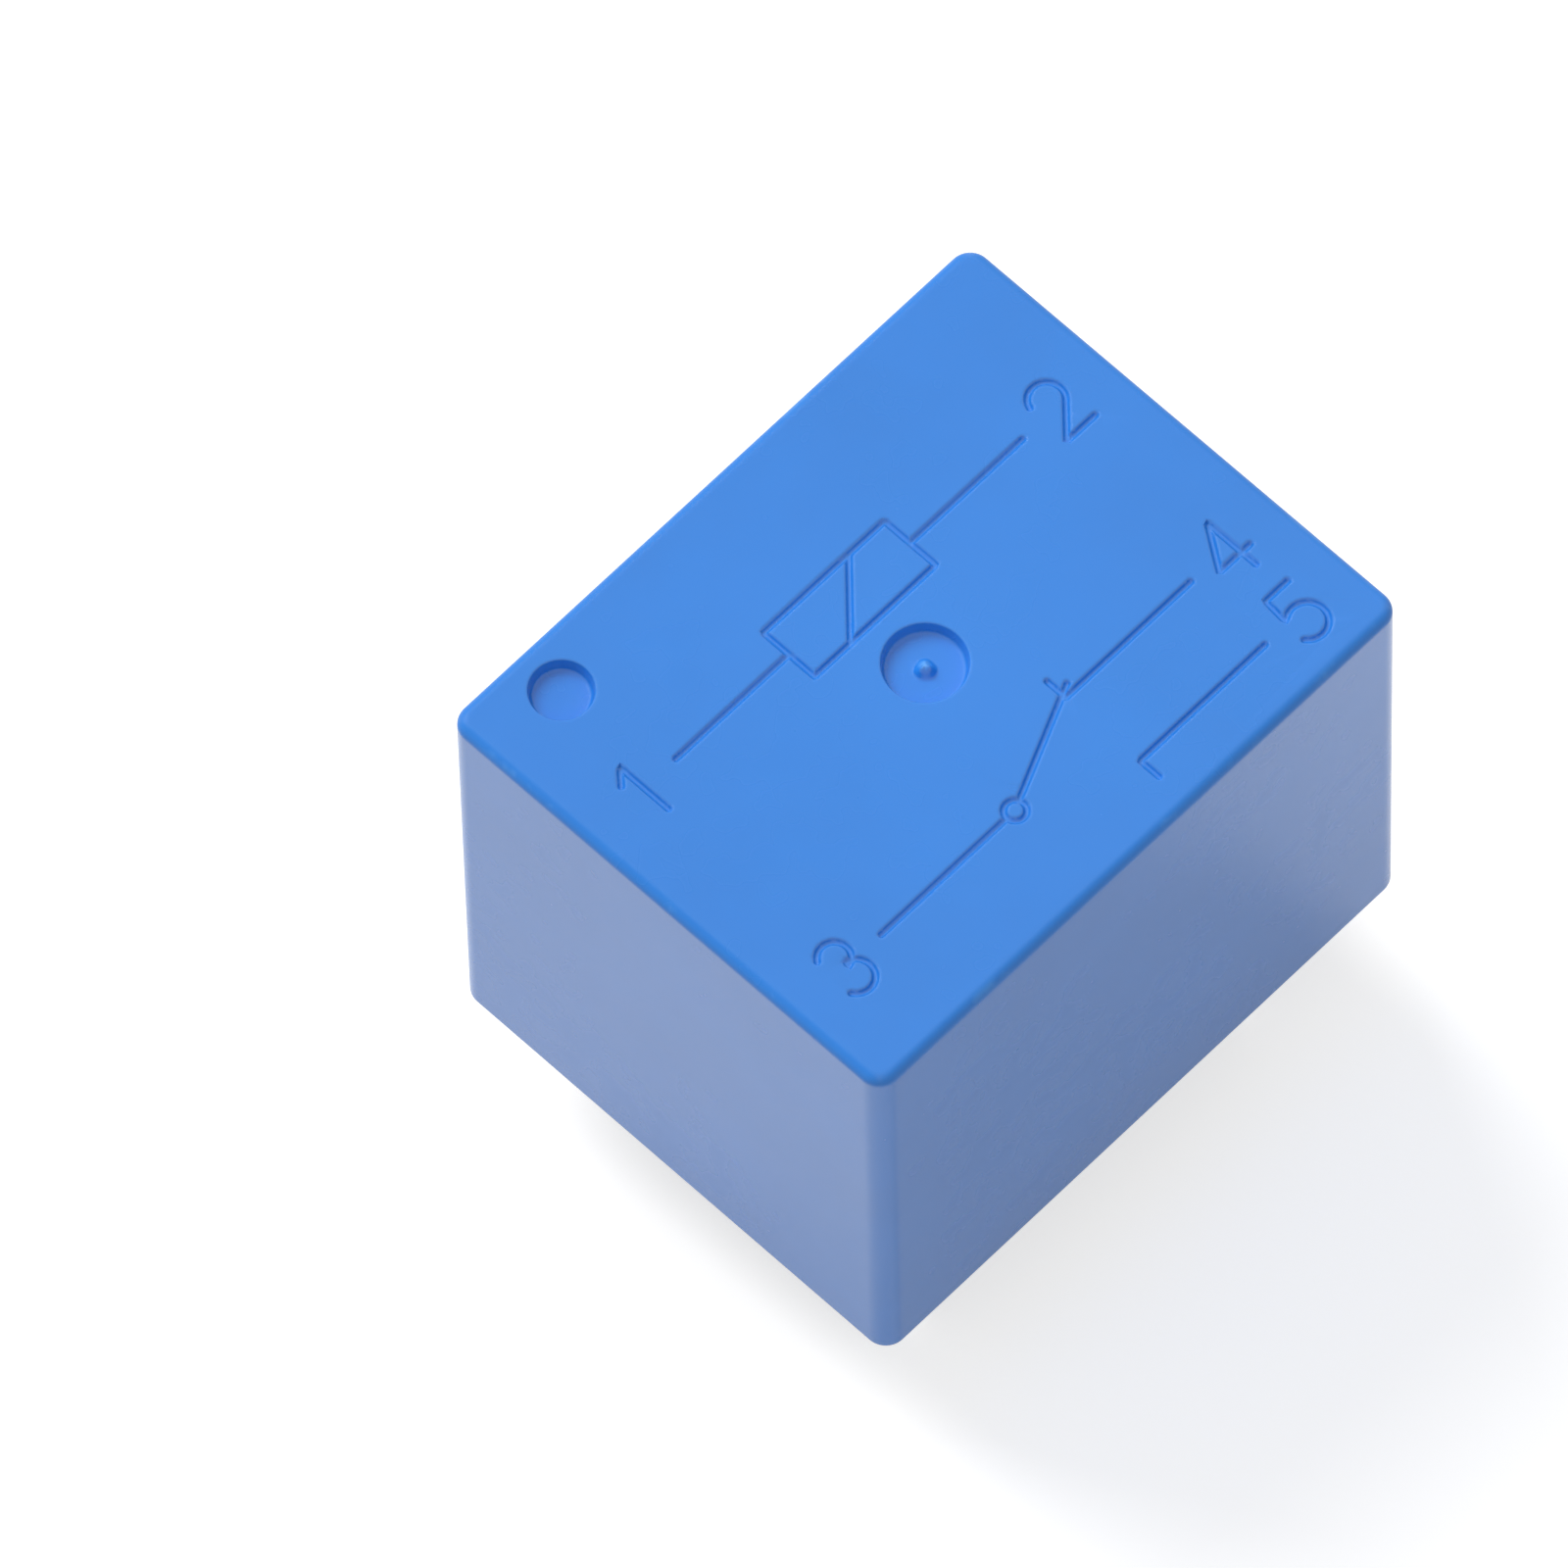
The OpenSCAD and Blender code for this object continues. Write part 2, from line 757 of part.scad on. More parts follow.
module common_terminal() {
  tail_back = common_x - strip_t / 2;
  first_bend_z = jog_under + strip_t + strip_bend_r;
  second_bend_z = jog_under - strip_bend_r;
  color(tin_grey)
    difference() {
      union() {
        translate([strip_back, -tab_w / 2, tab_low])
          cube([strip_t, tab_w, tab_top - tab_low]);
        across(neck_w) {
          translate([strip_back, first_bend_z])
            square([strip_t, tab_low - first_bend_z]);
          translate([strip_front + strip_bend_r, first_bend_z])
            rotate(180)
              quarter_bend(strip_bend_r, strip_t);
          translate([strip_front + strip_bend_r, jog_under])
            square([tail_back - strip_front - 2 * strip_bend_r, strip_t]);
          translate([tail_back - strip_bend_r, second_bend_z])
            quarter_bend(strip_bend_r, strip_t);
        }
        translate([tail_back, 0, 0])
          rotate([90, 0, 90])
            linear_extrude(strip_t)
              tail_outline(second_bend_z);
      }
      yoke_rivet_holes();
    }
}

// Contact terminal on the +Y side: tail, foot in the tower, bend and arm with a round end at the contact
module contact_terminal(arm_top) {
  bend_y = pin_y - strip_t / 2 - strip_bend_r;
  bend_level = arm_top - strip_t - strip_bend_r;
  color(tin_grey)
    difference() {
      union() {
        translate([contact_pin_x, pin_y + strip_t / 2, 0])
          rotate([90, 0, 0])
            linear_extrude(strip_t)
              tail_outline(base_top);
        translate([contact_x - arm_w / 2, pin_y - strip_t / 2, base_top])
          cube([arm_w, strip_t, bend_level - base_top]);
        translate([contact_x - arm_w / 2, bend_y, bend_level])
          rotate([90, 0, 90])
            linear_extrude(arm_w)
              quarter_bend(strip_bend_r, strip_t);
        translate([contact_x, 0, arm_top - strip_t])
          linear_extrude(strip_t) {
            circle(d = arm_w);
            translate([-arm_w / 2, 0])
              square([arm_w, bend_y]);
          }
      }
      translate([contact_x, 0, 0])
        cylinder(d = shank_d + 2 * fit, h = cover_h);
    }
}

module nc_terminal() {
  contact_terminal(nc_arm_top);
}

module no_terminal() {
  mirror([0, 1, 0])
    contact_terminal(no_arm_top);
}

// Fixed contact rivet with its face at 0, its shank and riveted tail above
module fixed_contact() {
  seat = contact_h;
  back = contact_h + strip_t;
  top = back + peen_h;
  r = contact_d / 2;
  color(contact_silver)
    translate([contact_x, 0, 0])
      rotate_extrude()
        polygon([[0, 0], [r - contact_edge, 0], [r, contact_edge], [r, seat], [shank_d / 2, seat],
                 [shank_d / 2, back], [peen_d / 2, back], [peen_d / 2 - peen_h, top], [0, top]]);
}

module nc_contact() {
  translate([0, 0, nc_face])
    fixed_contact();
}

module no_contact() {
  translate([0, 0, no_face])
    mirror([0, 0, 1])
      fixed_contact();
}

cover();
base();
sealing_resin();
bobbin();
coil_winding();
coil_lead_1();
coil_lead_2();
coil_pin_1();
coil_pin_2();
core();
yoke();
armature();
armature_rivets();
contact_spring();
moving_contact();
yoke_rivets();
common_terminal();
nc_terminal();
no_terminal();
nc_contact();
no_contact();
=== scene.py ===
"""Sealed relay for a circuit board: moulded cover, cast seal, coil, contact blade, finishes and stage.

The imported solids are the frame. Lengths in the shape functions are millimetres, in the frame's own axes.
"""

import json
import math

import bmesh
import bpy
import numpy as np
from bpy.props import FloatProperty, FloatVectorProperty, IntProperty, PointerProperty
from mathutils import Matrix, Vector
from mathutils.geometry import delaunay_2d_cdt


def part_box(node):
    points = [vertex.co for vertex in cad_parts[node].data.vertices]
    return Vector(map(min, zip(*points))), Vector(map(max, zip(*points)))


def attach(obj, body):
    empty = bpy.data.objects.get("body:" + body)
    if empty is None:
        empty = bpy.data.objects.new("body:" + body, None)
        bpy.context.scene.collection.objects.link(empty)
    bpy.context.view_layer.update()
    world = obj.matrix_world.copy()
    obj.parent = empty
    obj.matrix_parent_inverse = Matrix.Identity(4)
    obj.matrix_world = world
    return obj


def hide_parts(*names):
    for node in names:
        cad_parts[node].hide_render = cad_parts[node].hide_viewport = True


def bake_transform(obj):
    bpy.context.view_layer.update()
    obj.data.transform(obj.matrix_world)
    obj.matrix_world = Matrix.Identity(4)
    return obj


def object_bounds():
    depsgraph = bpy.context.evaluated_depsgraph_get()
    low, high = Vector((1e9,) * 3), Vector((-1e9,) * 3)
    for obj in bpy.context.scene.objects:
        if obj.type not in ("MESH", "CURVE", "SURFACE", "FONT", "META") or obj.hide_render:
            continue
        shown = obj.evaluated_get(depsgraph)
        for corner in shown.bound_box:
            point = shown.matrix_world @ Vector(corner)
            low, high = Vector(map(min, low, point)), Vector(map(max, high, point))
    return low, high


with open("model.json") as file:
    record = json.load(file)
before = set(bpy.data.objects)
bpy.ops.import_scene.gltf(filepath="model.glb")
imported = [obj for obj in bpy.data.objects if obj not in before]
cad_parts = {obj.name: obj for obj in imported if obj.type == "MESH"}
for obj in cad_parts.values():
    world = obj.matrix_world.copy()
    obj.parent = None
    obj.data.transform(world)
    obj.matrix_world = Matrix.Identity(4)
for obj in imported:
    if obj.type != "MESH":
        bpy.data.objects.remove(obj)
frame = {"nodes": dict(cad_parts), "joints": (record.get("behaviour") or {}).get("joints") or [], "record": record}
CAD_BOX = [list(corner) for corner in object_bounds()]

bl_info = {
    "name": "Sealed relay",
    "version": (1, 0, 0),
    "blender": (4, 5, 0),
    "location": "View3D > Sidebar > Relay",
    "description": "Dresses the packed relay: cover, seal, coil, contact blade, finishes and stage",
    "category": "Object",
}

MM = 0.001
WELD = 2e-7
TURN, QUARTER = 2 * math.pi, math.pi / 2
HOUSING, SWINGING = "housing", "armature_set"


def box_mm(name):
    """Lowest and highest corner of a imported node, in millimetres."""
    low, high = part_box(name)
    return np.array(low) / MM, np.array(high) / MM


def mount_mm(name):
    """Place of one of the record's mounts in the plan, in millimetres."""
    place = next(mount["pos_m"] for mount in frame["record"]["mounts"] if mount["name"] == name)
    return np.array(place[:2]) / MM


HINGE = np.array(frame["joints"][0]["pos_m"]) / MM
OPEN_ANGLE = math.radians(frame["joints"][0]["range_deg"][1])
COVER_LOW, COVER_HIGH = box_mm("cover")
SEAL_LOW, SEAL_HIGH = box_mm("sealing_resin")
COIL_LOW, COIL_HIGH = box_mm("coil_winding")
SPRING_LOW, YOKE_LOW, LEAD_LOW = (box_mm(name)[0] for name in ("contact_spring", "yoke", "coil_lead_1"))
COIL_X, COIL_R = (COIL_LOW[0] + COIL_HIGH[0]) / 2, (COIL_HIGH[0] - COIL_LOW[0]) / 2


def length(name, description, millimetres, low=0.0):
    """A length setting, kept in metres."""
    return FloatProperty(
        name=name, description=description, default=millimetres * MM, min=low, unit="LENGTH", precision=6)


def tint(name, description, colour):
    """A colour setting, in linear light."""
    return FloatVectorProperty(
        name=name, description=description, default=colour, min=0.0, max=1.0, size=3, subtype="COLOR")


def share(name, description, value, top=1.0):
    """A setting without a unit."""
    return FloatProperty(name=name, description=description, default=value, min=0.0, max=top)


def turn(name, description, degrees):
    """An angle setting."""
    return FloatProperty(
        name=name, description=description, default=math.radians(degrees), subtype="ANGLE", unit="ROTATION")


def heading(name, description, direction):
    """A direction setting."""
    return FloatVectorProperty(
        name=name, description=description, default=direction, size=3, subtype="DIRECTION")


class RelayCoverSettings(bpy.types.PropertyGroup):
    """Sizes and colours of the moulded cover."""

    corner_radius: length("Corner radius", "Radius of the upright outer edges", 0.6)
    roof_radius: length("Roof edge radius", "Radius of the edges round the roof", 0.3)
    rim_radius: length("Rim radius", "Radius of the lower outer edge", 0.1)
    wall: length("Wall", "Thickness of the side walls", 0.7)
    roof: length("Roof", "Thickness of the roof", 0.8)
    cavity_radius: length("Cavity radius", "Radius of the upright inner edges", 0.3)
    rib_width: length("Rib width", "Width of the stop ribs inside", 1.0)
    rib_depth: length("Rib depth", "How far the stop ribs stand off the walls", 0.5)
    rib_start: length("Rib start", "Height where the stop ribs begin", 1.8)
    gate_diameter: length("Gate well diameter", "Width of the gate well in the roof", 2.25)
    gate_depth: length("Gate well depth", "Depth of the gate well", 0.4)
    nub_diameter: length("Gate nub diameter", "Width of the broken gate in the well", 0.7)
    nub_height: length("Gate nub height", "Height of the broken gate", 0.26)
    vent_diameter: length("Vent diameter", "Width of the vent recess", 1.7)
    vent_depth: length("Vent depth", "Depth of the vent recess", 0.4)
    vent_end_inset: length("Vent end inset", "Vent recess to the contact end", 2.6)
    vent_side_inset: length("Vent side inset", "Vent recess to the side", 1.5)
    mark_width: length("Mark width", "Width of the engraved strokes", 0.26)
    mark_depth: length("Mark depth", "Depth of the engraved strokes", 0.11)
    numeral_height: length("Numeral height", "Height of the terminal numbers", 1.7)
    colour: tint("Colour", "Blue of the cover", (0.018, 0.216, 0.725))
    # Pale plastic: rubbed pale on the roof edges, and on the broken gate also a painted highlight
    pale_and_highlight_colour: tint("Torn plastic and highlight", "Pale plastic where the gate broke off, also a painted highlight", (0.16, 0.46, 0.95))
    gloss_roughness: share("Roughness", "Mean roughness of the moulded skin", 0.25)
    coat: share("Gloss", "Share of the glossy outer skin away from the roof edges", 0.65)


class RelaySealSettings(bpy.types.PropertyGroup):
    """Sizes and colour of the cast seal under the base."""

    climb: length("Climb", "How far the resin climbs the walls and pins", 0.11)
    reach: length("Reach", "Distance in which the climb dies out", 0.22)
    sag: length("Waviness", "Height of the slow waves in the cast face", 0.012)
    pin_gap: length("Pin gap", "Gap left round collars and tails", 0.01)
    collar_diameter: length("Collar diameter", "Width of the coil pins' collars", 1.0)
    tail_width: length("Tail width", "Width of the flat solder tails", 1.0)
    tail_thickness: length("Tail thickness", "Thickness of the flat solder tails", 0.4)
    colour: tint("Colour", "Near black of the resin", (0.012, 0.013, 0.017))


class RelayCoilSettings(bpy.types.PropertyGroup):
    """Wire of the coil and of its two ends."""

    wire: length("Wire", "Width of one turn of the winding", 0.12)
    bore: length("Bore", "Inside radius of the winding", 2.58)
    lead_turns: IntProperty(
        name="Lead turns", description="Turns of each end round its pin", default=7, min=1, max=12)
    pin_diameter: length("Pin diameter", "Width of the coil pins", 0.6)
    colour: tint("Colour", "Enamelled copper", (0.46, 0.125, 0.045))


class RelayBladeSettings(bpy.types.PropertyGroup):
    """Sizes and colour of the contact blade."""

    thickness: length("Thickness", "Thickness of the blade", 0.15)
    half_width: length("Half width", "Half the blade's width over the armature", 2.5)
    half_neck: length("Half neck", "Half the width of the neck", 1.0)
    end_radius: length("End radius", "Radius of the round end at the contact", 1.5)
    bend_radius: length("Bend radius", "Inside radius of the bend over the hinge", 0.6)
    rise: length("Rise", "Height of the blade's underside over the hinge", 1.23)
    taper_start: length("Taper start", "Hinge to the start of the taper", 8.7)
    taper_end: length("Taper end", "Hinge to the start of the neck", 10.5)
    window_start: length("Window start", "Start of the window below the hinge", 2.0)
    window_reach: length("Window reach", "End of the window past the hinge", 1.15)
    colour: tint("Colour", "Rolled bronze", (0.58, 0.31, 0.125))


class RelayFinishSettings(bpy.types.PropertyGroup):
    """Colours of the plain pieces."""

    base_blue: tint("Base", "Moulded base", (0.022, 0.09, 0.34))
    bobbin_black: tint("Bobbin", "Moulded coil former", (0.022, 0.022, 0.024))
    tin: tint("Tin", "Tin plated terminals and rivets", (0.62, 0.61, 0.58))
    iron: tint("Iron", "Plated soft iron", (0.47, 0.46, 0.44))
    silver: tint("Silver", "Silver alloy contacts", (0.78, 0.77, 0.74))


class RelayStageSettings(bpy.types.PropertyGroup):
    """Floor, light and camera."""

    floor_size: length("Floor size", "Side of the square floor", 3000.0)
    floor_grey: share("Floor grey", "How much light the floor gives back", 0.66)
    floor_glow: share("Floor glow", "White added where the floor is seen", 0.62)
    floor_mirrored: share("Mirrored glow", "White added where the floor is mirrored", 0.27)
    sky: share("Sky", "Even light from all round", 0.42)
    sun: share("Sun", "Strength of the soft main light", 2.35, 20.0)
    sun_width: turn("Sun width", "How wide both lights are", 38.0)
    sun_from: heading("Sun from", "Where the main light comes from", (-0.02, -0.68, 0.733))
    fill: share("Fill", "Strength of the weak light from the camera's side", 0.17, 20.0)
    fill_from: heading("Fill from", "Where the weak light comes from", (0.32, 0.62, 0.716))
    azimuth: turn("Azimuth", "Camera's turn round the relay", 135.582)
    elevation: turn("Elevation", "Camera's height angle", 62.709)
    roll: turn("Roll", "Camera's turn about its own axis", -1.682)
    distance: length("Distance", "Camera to the middle of the relay", 798.32)
    pan_x: length("Pan right", "Relay's place right of the picture's middle", 3.663, -1.0)
    pan_y: length("Pan up", "Relay's place above the picture's middle", -0.368, -1.0)
    aim: length("Aim height", "Height of the point that the camera circles", 7.5)
    lens: FloatProperty(
        name="Lens", description="Focal length in millimetres on a 36 mm sensor", default=720.0, min=1.0)


def mm(value):
    """A length setting in millimetres."""
    return value / MM


def unit(vectors):
    """The same directions, each of length 1."""
    return vectors / np.linalg.norm(vectors, axis=-1, keepdims=True)


def lifted(plan, height):
    """Points of the plan at one height."""
    return np.column_stack([plan, np.full(len(plan), height)])


def on_circle(centre, radius, angle):
    """Points of a circle: the centre plus the radius turned through each angle."""
    return np.asarray(centre) + radius * np.stack([np.cos(angle), np.sin(angle)], -1)


def ring(centre, radius, count):
    """Closed circle of evenly spread points."""
    return on_circle(centre, radius, np.arange(count) * (TURN / count))


def arc(centre, radius, start, end, count):
    """Points on a circle between two angles in degrees."""
    return on_circle(centre, radius, np.radians(np.linspace(start, end, count)))


def grid_faces(rows, columns, wrap=False):
    """Quads between neighbouring points of a grid numbered row by row. Rows crossed with columns point
    outwards. With wrap the last column joins the first."""
    r = np.arange(rows - 1)[:, None]
    c = np.arange(columns if wrap else columns - 1)[None, :]
    d = (c + 1) % columns
    corners = (r * columns + c, (r + 1) * columns + c, (r + 1) * columns + d, r * columns + d)
    return np.stack(np.broadcast_arrays(*corners), -1).reshape(-1, 4)


def linked(name, data):
    """A new object in the scene."""
    made = bpy.data.objects.new(name, data)
    bpy.context.scene.collection.objects.link(made)
    return made


def shade(mesh, sharp):
    """Smooth shading, broken where faces meet at more than the given angle in degrees."""
    mesh.polygons.foreach_set("use_smooth", np.ones(len(mesh.polygons), bool))
    mesh.set_sharp_from_angle(angle=math.radians(sharp))
    mesh.update()


def new_piece(name, points, blocks, material, sharp):
    """A mesh object at the origin, from points in millimetres and arrays of faces. Points that no face uses
    are left out, and seams are welded."""
    used = np.zeros(len(points), bool)
    for block in blocks:
        used[block] = True
    number = np.cumsum(used) - 1
    faces = sum([number[block].tolist() for block in blocks], [])
    mesh = bpy.data.meshes.new(name)
    mesh.from_pydata((points[used] * MM).tolist(), [], faces)
    work = bmesh.new()
    work.from_mesh(mesh)
    bmesh.ops.remove_doubles(work, verts=work.verts, dist=WELD)
    work.to_mesh(mesh)
    work.free()
    shade(mesh, sharp)
    mesh.materials.append(material)
    return linked(name, mesh)


def settle(piece, stands_for):
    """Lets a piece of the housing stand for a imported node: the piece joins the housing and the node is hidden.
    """
    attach(piece, HOUSING)
    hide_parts(stands_for)


def round_loop(half_x, half_y, radius, x_marks, y_marks, steps=12):
    """Rectangle with round corners, anticlockwise from its +X side: four sides at the given marks, and four
    quarter circles about the corners' centres."""
    turned = np.linspace(0, QUARTER, steps + 1)
    corners = [(1, 1), (-1, 1), (-1, -1), (1, -1)]
    arcs = [on_circle(((half_x - radius) * x, (half_y - radius) * y), radius, turned + k * QUARTER)
            for k, (x, y) in enumerate(corners)]
    lines = [(half_x, y_marks), (x_marks[::-1], half_y), (-half_x, y_marks[::-1]), (x_marks, -half_y)]
    sides = [np.stack(np.broadcast_arrays(x, y), 1) for x, y in lines]
    return np.concatenate([part for pair in zip(sides, arcs) for part in pair])


def triangulate(loops, loose, merge=1e-6):
    """Points of the plan and anticlockwise triangles, whose edges keep to the closed loops and whose
    corners take in the loose points."""
    ends = np.cumsum([len(loop) for loop in loops])
    numbers = np.split(np.arange(ends[-1]), ends[:-1])
    edges = np.concatenate([np.stack([loop, np.roll(loop, -1)], 1) for loop in numbers])
    plan = np.concatenate(loops + [loose])
    found = delaunay_2d_cdt(plan.tolist(), edges.tolist(), [], 0, merge)
    return np.array(found[0]), np.array(found[2])


def inside(points, loop):
    """True for points left of every edge of an anticlockwise loop that bulges outwards everywhere."""
    run = np.roll(loop, -1, axis=0) - loop
    offset = points[:, None] - loop[None]
    return (run[:, 0] * offset[..., 1] - run[:, 1] * offset[..., 0] > 0).all(1)


def thin_out(points, cell):
    """One point for each small square of the plan."""
    first = np.unique(np.round(points / cell).astype(int), axis=0, return_index=True)[1]
    return points[np.sort(first)]


def plan_grid(half_x, half_y, step):
    """Evenly spread points inside a rectangle."""
    x, y = (np.linspace(-half, half, int(2 * half / step) + 1)[1:-1] for half in (half_x, half_y))
    return np.stack(np.meshgrid(x, y), -1).reshape(-1, 2)


def distance_to_lines(points, starts, ends, batch=4000):
    """Distance from each point to the nearest of the line pieces: to the foot of its square on the piece,
    held between the ends."""
    along = ends - starts
    size = np.maximum((along**2).sum(1), 1e-12)
    best = np.full(len(points), np.inf)
    for block in np.array_split(np.arange(len(points)), max(1, len(points) // batch)):
        offset = points[block][:, None, :] - starts[None]
        foot = np.clip((offset * along).sum(-1) / size, 0, 1)
        best[block] = np.linalg.norm(offset - foot[..., None] * along, axis=-1).min(1)
    return best


def numeral(number):
    """Pen stroke of a plain number, one unit high, standing on the base line and centred on 0."""
    strokes = {
        1: [[-0.16, 0.76], [0.06, 1.0], [0.06, 0.0]],
        2: [*arc((0.0, 0.71), 0.29, 165, -38, 16), [-0.3, 0.0], [0.31, 0.0]],
        3: [*arc((-0.02, 0.74), 0.26, 150, -80, 14), *arc((-0.02, 0.29), 0.29, 75, -150, 16)],
        4: [[0.15, 0.0], [0.15, 1.0], [-0.32, 0.3], [0.33, 0.3]],
        5: [[0.27, 1.0], [-0.2, 1.0], [-0.24, 0.56], *arc((-0.01, 0.32), 0.32, 125, -145, 18)],
    }
    return np.array(strokes[number])


def circuit_lines(height):
    """Strokes of the wiring sign on the roof, as read from the contact end: the coil on the upper row, the
    changeover contact on the lower, and a number at each end."""
    end, number_at = 6.3, 7.55
    coil_l, coil_h, coil_v = 2.2, 0.9, 2.65
    pivot, pivot_r, arm_start, arm_end = np.array([-1.45, -4.55]), 0.3, [0.27, 0.13], [2.05, -3.0]
    stop, tick, upper, lower = 1.75, 0.65, -3.25, -5.85
    low, high = coil_v - coil_h, coil_v + coil_h
    lines = [
        [[-coil_l, low], [coil_l, low], [coil_l, high], [-coil_l, high], [-coil_l, low]],
        [[-coil_h, low], [coil_h, high]],
        [[-end, coil_v], [-coil_l, coil_v]],
        [[coil_l, coil_v], [end, coil_v]],
        [[-end, pivot[1]], [pivot[0] - pivot_r, pivot[1]]],
        arc(pivot, pivot_r, 0, 360, 25),
        [pivot + arm_start, arm_end],
        [[stop, upper + tick], [stop, upper], [end, upper]],
        [[stop, lower - tick], [stop, lower], [end, lower]],
    ]
    places = {1: (-number_at, coil_v), 2: (number_at, coil_v), 3: (-number_at, pivot[1]),
              4: (number_at, upper), 5: (number_at, lower)}
    lines += [numeral(number) * height + [u, v - height / 2] for number, (u, v) in places.items()]
    return [-np.array(line) for line in lines]


def stroke_points(line, offsets, step, fan=14):
    """Rows of points at an even step along a stroke of straight pieces, at the given distances on both
    sides, with fans of points round its ends."""
    run = np.concatenate([[0], np.cumsum(np.linalg.norm(np.diff(line, axis=0), axis=1))])
    at = np.linspace(0, run[-1], max(2, int(run[-1] / step) + 1))
    path = np.stack([np.interp(at, run, line[:, k]) for k in (0, 1)], 1)
    ahead = unit(np.gradient(path, axis=0))
    across = np.stack([-ahead[:, 1], ahead[:, 0]], 1)
    both = np.concatenate([-offsets[::-1], [0.0], offsets])
    rows = (path[:, None] + both[None, :, None] * across[:, None]).reshape(-1, 2)
    fans = [ring(end, radius, fan) for end in (path[0], path[-1]) for radius in offsets]
    return np.concatenate([rows] + fans)


def well_profile(radius, depth, lip=0.06, foot=0.14, draft=0.04, margin=0.12):
    """Radii, from outside in, and heights of a round recess: a level margin, a quarter-round lip, a wall
    with a slight draft, a quarter-round foot and the floor."""
    steep = np.radians(np.linspace(0, 80, 5))
    low = steep[::-1]
    wall = radius - draft
    radii = [[radius + margin], radius + lip * (1 - np.sin(steep)), wall - foot * (1 - np.sin(low)), [0.0]]
    heights = [[0.0], lip * (np.cos(steep) - 1), foot * (1 - np.cos(low)) - depth, [-depth]]
    return np.concatenate(radii), np.concatenate(heights)


def nub_height(offset, radius, height):
    """Broken gate in the well: a low bell, one less the squared radius, squared, that leans to one side and
    is torn by three shallow lobes."""
    lean, lean_at, lobes, lobes_at = 0.7, 0.9, 0.4, -0.5
    r = np.linalg.norm(offset, axis=1) / radius
    angle = np.arctan2(offset[:, 1], offset[:, 0])
    bell = np.clip(1 - r**2, 0, None) ** 2
    torn = 1 + lean * r * np.cos(angle - lean_at) + lobes * r * np.cos(3 * angle - lobes_at)
    return height * bell * torn


# Where the roof's points lie: beside edges, round wells and gate, beside strokes and between
SUPPORT, WELL_SIDES, NUB_SIDES = 0.06, 96, 32
NUB_ROWS = (1.15, 1.0, 0.92, 0.8, 0.62, 0.4, 0.2)
STROKE_ROWS, STROKE_STEP, STROKE_CELL = np.array([0.2, 0.4, 0.6, 0.8, 1.0, 1.35]), 0.07, 0.028
ROOF_STEP, ROOF_INSET, WELL_CLEAR = 0.9, 0.3, 0.1


def roof_surface(s, boundary, top):
    """The roof as height over the plan: the level top, less the strokes, less the two wells, plus the
    broken gate. A stroke's depth falls from full on its floor to nothing at its edge as half a cosine wave
    of the distance to its line."""
    half_mark, nub_r, level_share = mm(s.mark_width) / 2, mm(s.nub_diameter) / 2, 0.15
    lines = circuit_lines(mm(s.numeral_height))
    starts = np.concatenate([line[:-1] for line in lines])
    ends = np.concatenate([line[1:] for line in lines])
    gate = np.zeros(2)
    vent = np.array([COVER_HIGH[0] - mm(s.vent_end_inset), COVER_LOW[1] + mm(s.vent_side_inset)])
    wells = [(gate, *well_profile(mm(s.gate_diameter) / 2, mm(s.gate_depth))),
             (vent, *well_profile(mm(s.vent_diameter) / 2, mm(s.vent_depth)))]

    extent = np.abs(boundary).max(0)
    loops = [boundary, boundary * (1 - SUPPORT / extent)]
    loops += [ring(centre, radius, WELL_SIDES) for centre, radii, _ in wells for radius in radii[:-1]]
    loops += [ring(gate, nub_r * part, NUB_SIDES) for part in NUB_ROWS]
    strokes = [stroke_points(line, half_mark * STROKE_ROWS, STROKE_STEP) for line in lines]
    between = plan_grid(*(extent - ROOF_INSET), ROOF_STEP)
    clear = distance_to_lines(between, starts, ends) > half_mark * 2
    for centre, radii, _ in wells:
        clear &= np.linalg.norm(between - centre, axis=1) > radii[0] + WELL_CLEAR
    loose = [thin_out(np.concatenate(strokes), STROKE_CELL), between[clear], [gate, vent]]
    plan, faces = triangulate(loops, np.concatenate(loose))

    beside = distance_to_lines(plan, starts, ends) / half_mark
    wave = np.clip((beside - level_share) / (1 - level_share), 0, 1)
    height = top - mm(s.mark_depth) * 0.5 * (1 + np.cos(math.pi * wave))
    for centre, radii, heights in wells:
        height += np.interp(np.linalg.norm(plan - centre, axis=1), radii[::-1], heights[::-1])
    height += nub_height(plan - gate, nub_r, mm(s.nub_height))
    return np.column_stack([plan, height]), faces


